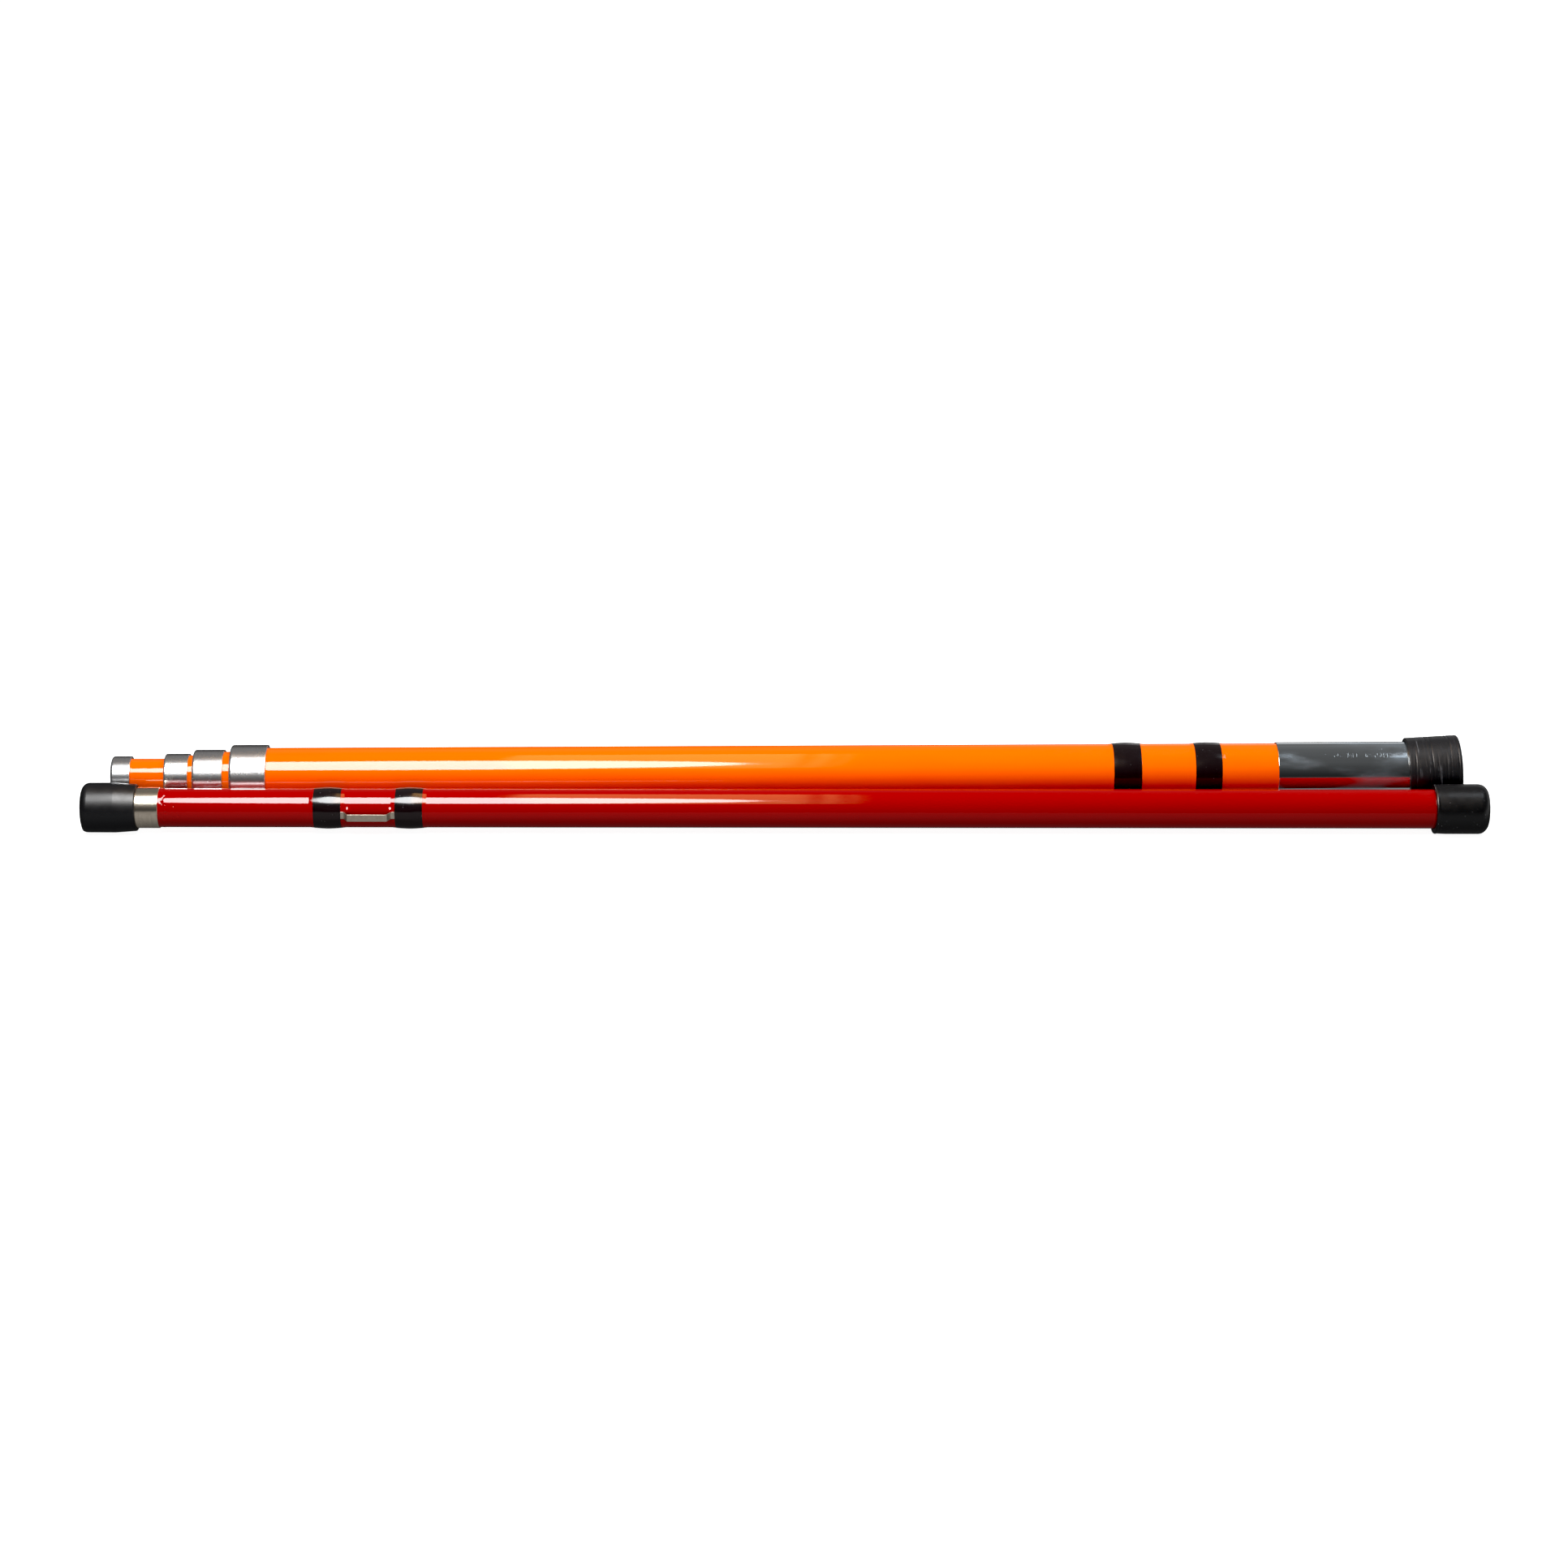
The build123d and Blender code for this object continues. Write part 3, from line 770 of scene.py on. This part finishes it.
# %% [markdown]
# ## Collars, ferrules and the butt sleeve
#
# A collar is bored to fit over its tube and has a lip in front that guides the next section. Its
# front edge is rolled over to a good radius, so that hands slide over it, and its rear edge is only
# broken. The last section ends in a ferrule with a long bore, which takes a fitting.

# %% The collars
MOUTHS = {"outer_tube": 1, "section_2": 2, "section_3": 3, "section_4": 4}
ROLLED_EDGE = 2.0
RING_EDGE = 0.6
REAR_EDGE = 0.45
SEAT_GAP = 0.02


def make_collar(node, tube, material, front_edge):
    """A collar turned from its own span, bored in steps: the tube's seat, then the guiding lip."""
    size = span(node)
    seat = span(tube)
    corners = [
        (size.front, size.inner, 0.3),
        (size.front, size.outer, front_edge),
        (size.rear, size.outer, REAR_EDGE),
        (size.rear, seat.outer + SEAT_GAP, 0.1),
        (seat.front - SEAT_GAP, seat.outer + SEAT_GAP, 0.1),
        (seat.front - SEAT_GAP, size.inner, 0.2),
    ]
    piece = turned(f"{node}_turning", poles[node.split("_")[0]], outline(corners))
    stand_for(piece, node, material)
    print(node, "from", round(size.front, 1), "to", round(size.rear, 1), "mm")


for colour in ("red", "orange"):
    for tube, number in MOUTHS.items():
        for fitting in ("collar", "ferrule"):
            node = f"{colour}_{fitting}_{number}"
            if node in nodes:
                metal, edge = (nickel, RING_EDGE) if node == "red_collar_1" else (aluminium, ROLLED_EDGE)
                make_collar(node, f"{colour}_{tube}", metal, edge)

# %% [markdown]
# The sleeve at the orange pole's butt is a plain length of thin drawn tube, so its outline is a long
# thin rectangle with broken edges.

# %% The butt sleeve
sleeve = span("orange_butt_sleeve")
sleeve_corners = [
    (sleeve.front, sleeve.inner, 0.1),
    (sleeve.front, sleeve.outer, 0.35),
    (sleeve.rear, sleeve.outer, 0.3),
    (sleeve.rear, sleeve.inner, 0.1),
]
sleeve_piece = turned("orange_butt_sleeve_drawn", poles["orange"], outline(sleeve_corners))
stand_for(sleeve_piece, "orange_butt_sleeve", steel)
print("sleeve", round(sleeve.rear - sleeve.front, 1), "mm long")

# %% [markdown]
# ## Caps
#
# A cap is a cup: its outline starts on the axis outside, goes over the rim and ends on the axis
# inside. The mouth cap has stood on its lower corner for years, so that corner is pressed nearly
# square and pushed in a little, while the rest is round.

# %% The mouth cap's pressed corner
CAP_FLOOR = 4.2
CAP_GAP = 0.08
MOUTH_CAP_CORNER = 5.5
SQUARE_CORNER = 0.8
SQUARE_TURN = radians(160)
SQUARE_SPREAD = radians(75)
PUSHED_IN = 1.6
PUSHED_LENGTH = 4
WAVY = 0.08
mouth_cap = span("red_mouth_cap")
mouth_bore = span("red_collar_1").outer + CAP_GAP


def eased(share):
    """3 * share ** 2 - 2 * share ** 3, which leaves 0 and reaches 1 without a kink."""
    return share ** 2 * (3 - 2 * share)


def pressed_corner(stations, radii, turns):
    """Where the corner was pressed, the arc's shortfall from the full radius nearly goes, and the
    face moves inwards from half the radius out. The flank is wavy by sin(3 * turn + station / 4)."""
    press = eased(np.clip(1 - np.abs((turns - SQUARE_TURN) / SQUARE_SPREAD), 0, 1))
    inner_end = mouth_cap.front + MOUTH_CAP_CORNER + 0.6
    corner = (stations < inner_end) & (radii > mouth_cap.outer - MOUTH_CAP_CORNER - 0.1)
    squared = mouth_cap.outer - (mouth_cap.outer - radii) * (1 - SQUARE_CORNER * press)
    near_face = np.clip(1 - (stations - mouth_cap.front) / PUSHED_LENGTH, 0, 1)
    pushed = PUSHED_IN * press * near_face * np.clip(2 * radii / mouth_cap.outer - 1, 0, 1)
    wavy = WAVY * np.sin(3 * turns + stations / 4) * (radii > mouth_bore + 1)
    return stations + pushed, np.where(corner, squared, radii) - np.abs(wavy)


print("mouth cap", round(mouth_cap.rear - mouth_cap.front, 1), "mm long, radius", round(mouth_cap.outer, 1))

# %% [markdown]
# The flank runs straight for most of its length and then draws in by a millimetre to the rim, where
# the rubber grips the ring.

# %% Turn the mouth cap
mouth_cap_corners = [
    (mouth_cap.front, 0, 0),
    (mouth_cap.front, mouth_cap.outer, MOUTH_CAP_CORNER),
    (mouth_cap.front + 14, mouth_cap.outer, 8),
    (mouth_cap.front + 25, mouth_cap.outer, 8),
    (mouth_cap.rear, mouth_cap.outer - 1.1, 1.1),
    (mouth_cap.rear, mouth_bore, 0.4),
    (mouth_cap.front + CAP_FLOOR, mouth_bore, 0.8),
    (mouth_cap.front + CAP_FLOOR, 0, 0),
]
mouth_cap_outline = outline(mouth_cap_corners, closed=False)
mouth_cap_piece = turned("red_mouth_cap_moulding", poles["red"], mouth_cap_outline, ends="pointed",
                         shape=pressed_corner)
stand_for(mouth_cap_piece, "red_mouth_cap", cap_rubber)
print("mouth cap", len(mouth_cap_piece.data.polygons), "faces")

# %% [markdown]
# The red butt cap is thinner and smoother, with a rounder end. It has a rolled lip, left where the
# vinyl ran down to the edge when it was dipped.

# %% The butt cap
LIP = 2.4
butt_cap = span("red_butt_cap")
butt_bore = tube_radius["red"] + CAP_GAP
butt_cap_corners = [
    (butt_cap.rear, 0, 0),
    (butt_cap.rear, butt_cap.outer, 7.2),
    (butt_cap.front + 9, butt_cap.outer, 6),
    (butt_cap.front + LIP, butt_cap.outer - 0.3, 0.8),
    (butt_cap.front + LIP / 2, butt_cap.outer - 0.05, 0.8),
    (butt_cap.front, butt_cap.outer - 0.4, 0.9),
    (butt_cap.front, butt_bore, 0.3),
    (butt_cap.rear - CAP_FLOOR, butt_bore, 0.8),
    (butt_cap.rear - CAP_FLOOR, 0, 0),
]
butt_cap_outline = outline(butt_cap_corners, closed=False)
butt_cap_piece = turned("red_butt_cap_dipping", poles["red"], butt_cap_outline, ends="pointed")
stand_for(butt_cap_piece, "red_butt_cap", dipped_vinyl)
print("butt cap", round(butt_cap.rear - butt_cap.front, 1), "mm long, radius", round(butt_cap.outer, 1))

# %% [markdown]
# The orange pole's cap sits crooked. Its bore stays true to the pole, but the outside leans, so the
# outside is turned about the line of its end face, and the bore about the pole. The creases are real
# shallow folds: a few rings of uneven depth that fade in and out round the cap.

# %% Creases
CREASES = 8
CREASE_DEPTH = 0.22
CREASE_WIDTH = 0.5
face_mount = mounts["orange_butt_face"]
leaning = make_pole(face_mount["pos_m"], face_mount["axis"])
orange_cap = span("orange_butt_cap", leaning)
orange_rim = orange_cap.front
print("orange cap", round(-orange_rim, 1), "mm long, radius", round(orange_cap.outer, 1))


def creased(stations, radii, turns):
    """Rings at uneven places, each a dip of exp(-(distance / width) ** 2). Its depth waxes and wanes
    with the sine of one, two or three times the turn, and its place wanders with twice the turn."""
    dip = np.zeros_like(radii)
    for number in range(CREASES):
        middle = orange_rim * (number + 0.7 + 0.25 * sin(2.3 * number)) / (CREASES + 0.6)
        middle = middle + 0.5 * np.sin(turns * 2 + number)
        depth = np.clip(0.55 + 0.6 * np.sin(turns * (1 + number % 3) + 1.7 * number), 0, 1)
        dip = dip + CREASE_DEPTH * depth * np.exp(-((stations - middle) / CREASE_WIDTH) ** 2)
    return radii - dip


# %% [markdown]
# The outside needs a row every third of a millimetre to carry the creases. It stops just inside the
# rim, and from there the skin goes straight over to the bore, which is turned about the pole.

# %% The orange pole's cap
CREASE_ROWS = 0.3
RIM_WALL = 0.6
cap_bore = sleeve.outer + CAP_GAP


def with_rows(points, step):
    """The runs of an outline, but the last, cut into rows at most step apart along the axis."""
    runs = []
    for here, after in zip(points[:-2], points[1:-1]):
        count = max(2, ceil(abs(after[0] - here[0]) / step))
        runs.append(np.linspace(here, after, count, endpoint=False))
    return np.vstack(runs)


def make_orange_cap():
    """The leaning outside, creased on its flank only, and the bore that is true to the pole."""
    outside = with_rows(outline([
        (0, 0, 0),
        (0, orange_cap.outer, 1.8),
        (orange_rim, orange_cap.outer, 0.7),
        (orange_rim, cap_bore + RIM_WALL, 0.3),
        (orange_rim + 4, cap_bore + RIM_WALL, 0),
    ], closed=False), CREASE_ROWS)
    inside_rim = (outside[:, 1] < cap_bore + RIM_WALL + 0.1) & (outside[:, 0] < orange_rim + 1)
    outside = outside[:np.argmax(inside_rim)]
    bore_end = span("orange_outer_tube").rear + 0.3
    rim_station = (leaning.origin - poles["orange"].origin) @ poles["orange"].way / MM + orange_rim
    inside = outline([
        (rim_station + 0.3, cap_bore, 0),
        (bore_end, cap_bore, 0.8),
        (bore_end, 0, 0),
    ], closed=False)
    turns = np.linspace(0, 2 * pi, AROUND, endpoint=False)
    station, turn = np.meshgrid(outside[:, 0], turns, indexing="ij")
    radius = np.repeat(outside[:, 1:], AROUND, axis=1)
    flank = (radius > orange_cap.outer - 0.1) & (station > orange_rim + 1) & (station < -2)
    outer_grid = place(leaning, station, np.where(flank, creased(station, radius, turn), radius), turn)
    station, turn = np.meshgrid(inside[:, 0], turns, indexing="ij")
    inner_grid = place(poles["orange"], station, np.repeat(inside[:, 1:], AROUND, axis=1), turn)
    return skin("orange_butt_cap_moulding", np.concatenate((outer_grid, inner_grid)), leaning, "pointed")


orange_cap_piece = make_orange_cap()
stand_for(orange_cap_piece, "orange_butt_cap", creased_rubber)
print("orange cap", len(orange_cap_piece.data.polygons), "faces")

# %% [markdown]
# ## Tape bands
#
# Tape is wound in several turns, so its surface is a very slow spiral that ends in a step the height
# of one layer. Its edges wander a little from turn to turn. Where it crosses the tab of the strap
# loop it has to climb over the metal, and bridges down on both sides.

# %% The surface of a tape
LAYER = 0.13
SPIRAL_END = radians(205)
TAB_BULGE = 0.28
BRIDGE = 3.2
TAB_END = 3.5
SUNK = 0.05
WANDER = 0.12


def tape_shape(colour, tape, inwards):
    """Barrel, plus one layer less the share of the turn since its end, plus the eased climb over the
    tab, which ends TAB_END past the middle. The edges wander by the sines of one and three turns."""
    middle = (tape.front + tape.rear) / 2
    radius = tube_radius[colour]

    def shape(stations, radii, turns):
        spiral = LAYER * (((turns - SPIRAL_END) / (2 * pi)) % 1)
        aside = np.abs(turns_from(turns, LOOP_TURN[colour])) * radius
        over = eased(np.clip((STRIP_WIDTH / 2 + 0.1 + BRIDGE - aside) / BRIDGE, 0, 1))
        along = np.clip(((stations - middle) * inwards + TAB_END) / 1.5, 0, 1)
        height = barrel(stations, tape) + LAYER - spiral + TAB_BULGE * over * along
        wander = WANDER * (np.sin(turns + 1) + np.sin(3 * turns + stations) / 2)
        return stations + wander, np.where(radii > radius + 0.2, radius + SUNK + height, radii)

    return shape


print("tape", LAYER, "mm thick, climbing", TAB_BULGE, "mm over the tab")

# %% [markdown]
# The band itself is turned as a shallow ring, with enough rows to carry the barrel. Its inside is sunk
# a little into the tube, so no gap shows at its edges.

# %% Wind the tapes
TAPE_EDGE = 0.12
TAPE_ROWS = 24
TAPE_TOP = 0.6


def make_tape(colour, end, inwards):
    """A ring from just under the tube's surface to the shape of the tape."""
    node = f"{colour}_tape_{end}"
    tape = span(node)
    top = tube_radius[colour] + TAPE_TOP
    inside = tube_radius[colour] - SUNK
    corners = [(tape.front, inside, 0.02), (tape.front, top, TAPE_EDGE)]
    corners += [(station, top, 0) for station in np.linspace(tape.front + 0.8, tape.rear - 0.8, TAPE_ROWS)]
    corners += [(tape.rear, top, TAPE_EDGE), (tape.rear, inside, 0.02)]
    shape = tape_shape(colour, tape, inwards)
    piece = turned(f"{node}_winding", poles[colour], outline(corners), shape=shape)
    stand_for(piece, node, lacquered_tape)
    print(node, round(tape.rear - tape.front, 1), "mm wide")


for colour in tapes:
    make_tape(colour, "front", 1)
    make_tape(colour, "rear", -1)

# %% [markdown]
# ## Strap loops
#
# The loop is one strip of stainless steel with four bends. It is a small rounded rectangle carried
# along a path: at every point of the path the section stands square to it.

# %% A section along a path


def along_path(name, pole, path, section, turn):
    """section (across, through) carried square to path (station, height) at one turn: each point is
    path + through * (the step turned by 90 degrees) + across * side."""
    step = np.gradient(path, axis=0)
    step = step / np.linalg.norm(step, axis=1, keepdims=True)
    out = np.cos(turn) * pole.up + np.sin(turn) * pole.front
    side = -np.sin(turn) * pole.up + np.cos(turn) * pole.front
    through = section[:, 1]
    station = path[:, :1] - step[:, 1:] * through
    height = path[:, 1:] + step[:, :1] * through
    points = station[..., None] * pole.way + height[..., None] * out
    points = pole.origin + MM * (points + section[None, :, :1] * side)
    ends = [np.repeat(points[k].mean(0)[None, None], len(section), axis=1) for k in (0, -1)]
    return skin(name, np.concatenate((ends[0], points, ends[1])), pole, "pointed")


print("strip", STRIP_WIDTH, "by", STRIP_THICKNESS, "mm")

# %% [markdown]
# The path is the outline helper again, because a bend in a strip is also an arc between two straight
# runs. The tabs lie on the tube under the two tapes, and the bridge stands off it.

# %% Bend the loops
STRIP_EDGE = 0.14


def make_loop(colour):
    """Tab, leg, bridge, leg and tab between the pole's two tapes. Gives the bridge's length."""
    front, rear = tapes[colour]
    low = tube_radius[colour] + STRIP_THICKNESS / 2 - TAB_BEDDING
    high = low + STRIP_STAND_OFF
    front_bend = front.rear + TAB_SHOWING
    rear_bend = rear.front - TAB_SHOWING
    route = [
        (front.rear - TAB_UNDER_TAPE, low, 0),
        (front_bend, low, STRIP_BEND),
        (front_bend + LEG_RUN, high, STRIP_BEND),
        (rear_bend - LEG_RUN, high, STRIP_BEND),
        (rear_bend, low, STRIP_BEND),
        (rear.front + TAB_UNDER_TAPE, low, 0),
    ]
    wide = STRIP_WIDTH / 2
    thick = STRIP_THICKNESS / 2
    sides = ((-wide, -thick), (wide, -thick), (wide, thick), (-wide, thick))
    section = outline([(*side, STRIP_EDGE) for side in sides])
    name = f"{colour}_strap_loop"
    path = outline(route, closed=False)
    piece = along_path(f"{name}_strip", poles[colour], path, section, LOOP_TURN[colour])
    stand_for(piece, name, strip)
    return rear_bend - front_bend - 2 * LEG_RUN


for colour in tapes:
    print(colour, "loop bridges", round(make_loop(colour), 1), "mm")

# %% [markdown]
# ## The studio
#
# The poles lie on white paper, lit until hardly any shadow is left. The paper glows a little for that.
# It gives the poles no light, shadow or reflection, because the room further down does this evenly.

# %% White paper
GLOW = 0.93
HALF_FLOOR = 9
floor_mesh = bpy.data.meshes.new("floor")
corners = [(x * HALF_FLOOR, y * HALF_FLOOR, 0) for x, y in ((-1, -1), (1, -1), (1, 1), (-1, 1))]
floor_mesh.from_pydata(corners, [], [(0, 1, 2, 3)])
floor = bpy.data.objects.new("floor", floor_mesh)
bpy.context.scene.collection.objects.link(floor)
paper, _, paper_shader, _ = new_finish("white_paper", Roughness=0.9, Emission_Strength=GLOW)
paper_shader.inputs["Base Color"].default_value = linear("#a8a8a8")
paper_shader.inputs["Emission Color"].default_value = linear("#ffffff")
floor_mesh.materials.append(paper)
floor.visible_glossy = False
floor.visible_diffuse = False
floor.visible_shadow = False
print("paper", 2 * HALF_FLOOR, "m square")

# %% [markdown]
# A large oval softbox above and in front makes the bright band that ends halfway along the poles. The
# top light and the front fill light the pigment and are kept out of the gloss. A small cool card above
# the butts puts the soft shine on the smudged steel. Where the white band ends, the gloss also shows
# an amber patch that breaks off in steps: that takes three warm boards in a row, a long one and two
# slivers, all equally bright for their size.

# %% Lights
AMBER_SPANS = ((-0.312, 0.028), (0.045, 0.062), (0.078, 0.084))
AMBER_SPOT = (-0.235, 1.5)
AMBER_ACROSS = 1.87
AMBER_WATTS_PER_AREA = 16.0


def board(name, shape, spot, size, watts, colour, aim=(0.0, 0.0, 0.02)):
    """A light of size (along, across) metres that faces a point, or straight down with no aim. It is
    turned about X only, by atan2(depth, height) of the way to the point."""
    light = bpy.data.lights.new(name, "AREA")
    light.shape = shape
    light.size, light.size_y = size
    light.energy = watts
    light.color = colour
    lamp = bpy.data.objects.new(name, light)
    lamp.location = spot
    away = np.array(spot) - np.array(aim or (spot[0], spot[1], 0.0))
    lamp.rotation_euler = (np.arctan2(-away[1], away[2]), 0, 0)
    bpy.context.scene.collection.objects.link(lamp)
    return lamp


board("softbox", "ELLIPSE", (-0.44, -0.54, 1.50), (0.82, 1.07), 46.0, (0.97, 0.99, 1.0))
top_light = board("top_light", "RECTANGLE", (0.80, 0.63, 1.36), (1.0, 1.0), 32, (1.0, 1.0, 1.0))
top_light.visible_glossy = False
front_fill = board("front_fill", "RECTANGLE", (0.0, -1.6, 0.25), (2.0, 0.5), 11, (1.0, 1.0, 1.0))
front_fill.visible_glossy = False
board("end_card", "RECTANGLE", (1.03, 0.12, 1.52), (0.5, 0.45), 3.4, (0.86, 0.93, 1.0))
for number, (near, far) in enumerate(AMBER_SPANS):
    size = (far - near, AMBER_ACROSS)
    amber = board(f"amber_board_{number}", "RECTANGLE", ((near + far) / 2, *AMBER_SPOT), size,
                  AMBER_WATTS_PER_AREA * size[0] * size[1], (1.0, 0.52, 0.17), aim=None)
    amber.visible_diffuse = False
print(len(bpy.data.lights), "lights")

# %% [markdown]
# The rest of the room shows in the gloss, as a gradient from top to bottom of each pole: pale paper
# below, dark just above the front horizon, slowly lighter overhead, and dark again at the horizon
# behind. It is a colour ramp over the angle atan2(height, way to the front).

# %% The room
# (degrees from the front horizon, up over the top and down behind, brightness)
ROOM = (
    (-180, 0.04), (-150, 0.08), (-100, 0.13), (-60, 0.22), (-25, 0.34), (3, 0.34), (5, 0.030),
    (15, 0.030), (27, 0.045), (62, 0.10), (87, 0.11), (124, 0.14), (150, 0.19), (168, 0.06), (180, 0.04),
)
WALLS = 0.75
world = bpy.data.worlds.new("studio")
bpy.context.scene.world = world
world.use_nodes = True
sky = world.node_tree
sky.nodes.clear()
look = add(sky, "SeparateXYZ", {0: add(sky, "TexCoord").outputs["Generated"]}).outputs
front = add(sky, "Math", {0: look[1], 1: -1.0}, operation="MULTIPLY").outputs[0]
angle = add(sky, "Math", {0: look[2], 1: front}, operation="ARCTAN2").outputs[0]
share = add(sky, "MapRange", {"Value": angle, "From Min": -pi, "From Max": pi}).outputs[0]
ramp = add(sky, "ValToRGB", {0: share})
stops = ramp.color_ramp.elements
for index, (degrees, level) in enumerate(ROOM):
    position = (degrees + 180) / 360
    stop = stops[index] if index < 2 else stops.new(position)
    stop.position = position
    stop.color = (level, level, level, 1.0)
print("room with", len(stops), "steps of brightness")

# %% [markdown]
# Two pale walls are added to the ramp, a low one behind the right-hand half and one beyond the butts,
# which the steel and the caps show. Each is the product of two soft steps, one for each way that it
# ends. The camera itself sees plain white all round.

# %% The two walls
low = add(sky, "MapRange", {"Value": angle, "From Min": radians(160), "From Max": radians(172)}).outputs[0]
right = add(sky, "MapRange", {"Value": look[0], "From Min": -0.01, "From Max": 0.12}).outputs[0]
wall_behind = add(sky, "Math", {0: low, 1: right}, operation="MULTIPLY").outputs[0]
beyond = add(sky, "MapRange", {"Value": look[0], "From Min": 0.55, "From Max": 0.80}).outputs[0]
rise = add(sky, "Math", {0: look[2]}, operation="ABSOLUTE").outputs[0]
level = add(sky, "MapRange", {"Value": rise, "From Min": 0.24, "From Max": 0.14}).outputs[0]
wall_beyond = add(sky, "Math", {0: beyond, 1: level}, operation="MULTIPLY").outputs[0]
walls = add(sky, "Math", {0: wall_behind, 1: wall_beyond}, operation="MAXIMUM").outputs[0]
walls = add(sky, "Math", {0: walls, 1: WALLS}, operation="MULTIPLY").outputs[0]
room = add(sky, "Mix", {0: 1.0, 6: ramp.outputs[0], 7: walls}, data_type="RGBA", blend_type="ADD")
seen = add(sky, "LightPath").outputs["Is Camera Ray"]
shown = add(sky, "Mix", {0: seen, 6: room.outputs[COLOUR_RESULT], 7: linear("#ffffff")}, data_type="RGBA")
backdrop = add(sky, "Background", {"Color": shown.outputs[COLOUR_RESULT], "Strength": 1.0})
add(sky, "OutputWorld", {"Surface": backdrop.outputs[0]})
print("world of", len(sky.nodes), "nodes")

# %% [markdown]
# ## The camera
#
# The poles are seen square on, from 27 degrees above, with a long lens, so both lie almost level. A
# real tripod is never quite true: the camera is rolled by less than a tenth of a degree. The tone
# curve deepens the blacks a touch, so that rubber and tape stand out from the white.

# %% Camera
ELEVATION = radians(27)
DISTANCE = 2.722
AIM = (-0.0008, 0.0, 0.0249)
ROLL = radians(0.065)
LENS = 83.63
FULL_FRAME = 36
DEEP_BLACK = 0.008
camera_data = bpy.data.cameras.new("camera")
camera_data.lens = LENS
camera_data.sensor_width = FULL_FRAME
camera_data.clip_end = 50
camera = bpy.data.objects.new("camera", camera_data)
camera.location = (AIM[0], AIM[1] - DISTANCE * cos(ELEVATION), AIM[2] + DISTANCE * sin(ELEVATION))
camera.rotation_euler = (pi / 2 - ELEVATION, -ROLL * cos(ELEVATION), ROLL * sin(ELEVATION))
bpy.context.scene.collection.objects.link(camera)
bpy.context.scene.camera = camera
view = bpy.context.scene.view_settings
view.view_transform = "Standard"
view.use_curve_mapping = True
view.curve_mapping.black_level = (DEEP_BLACK, DEEP_BLACK, DEEP_BLACK)
view.curve_mapping.update()
print("camera at", [round(value, 3) for value in camera.location])
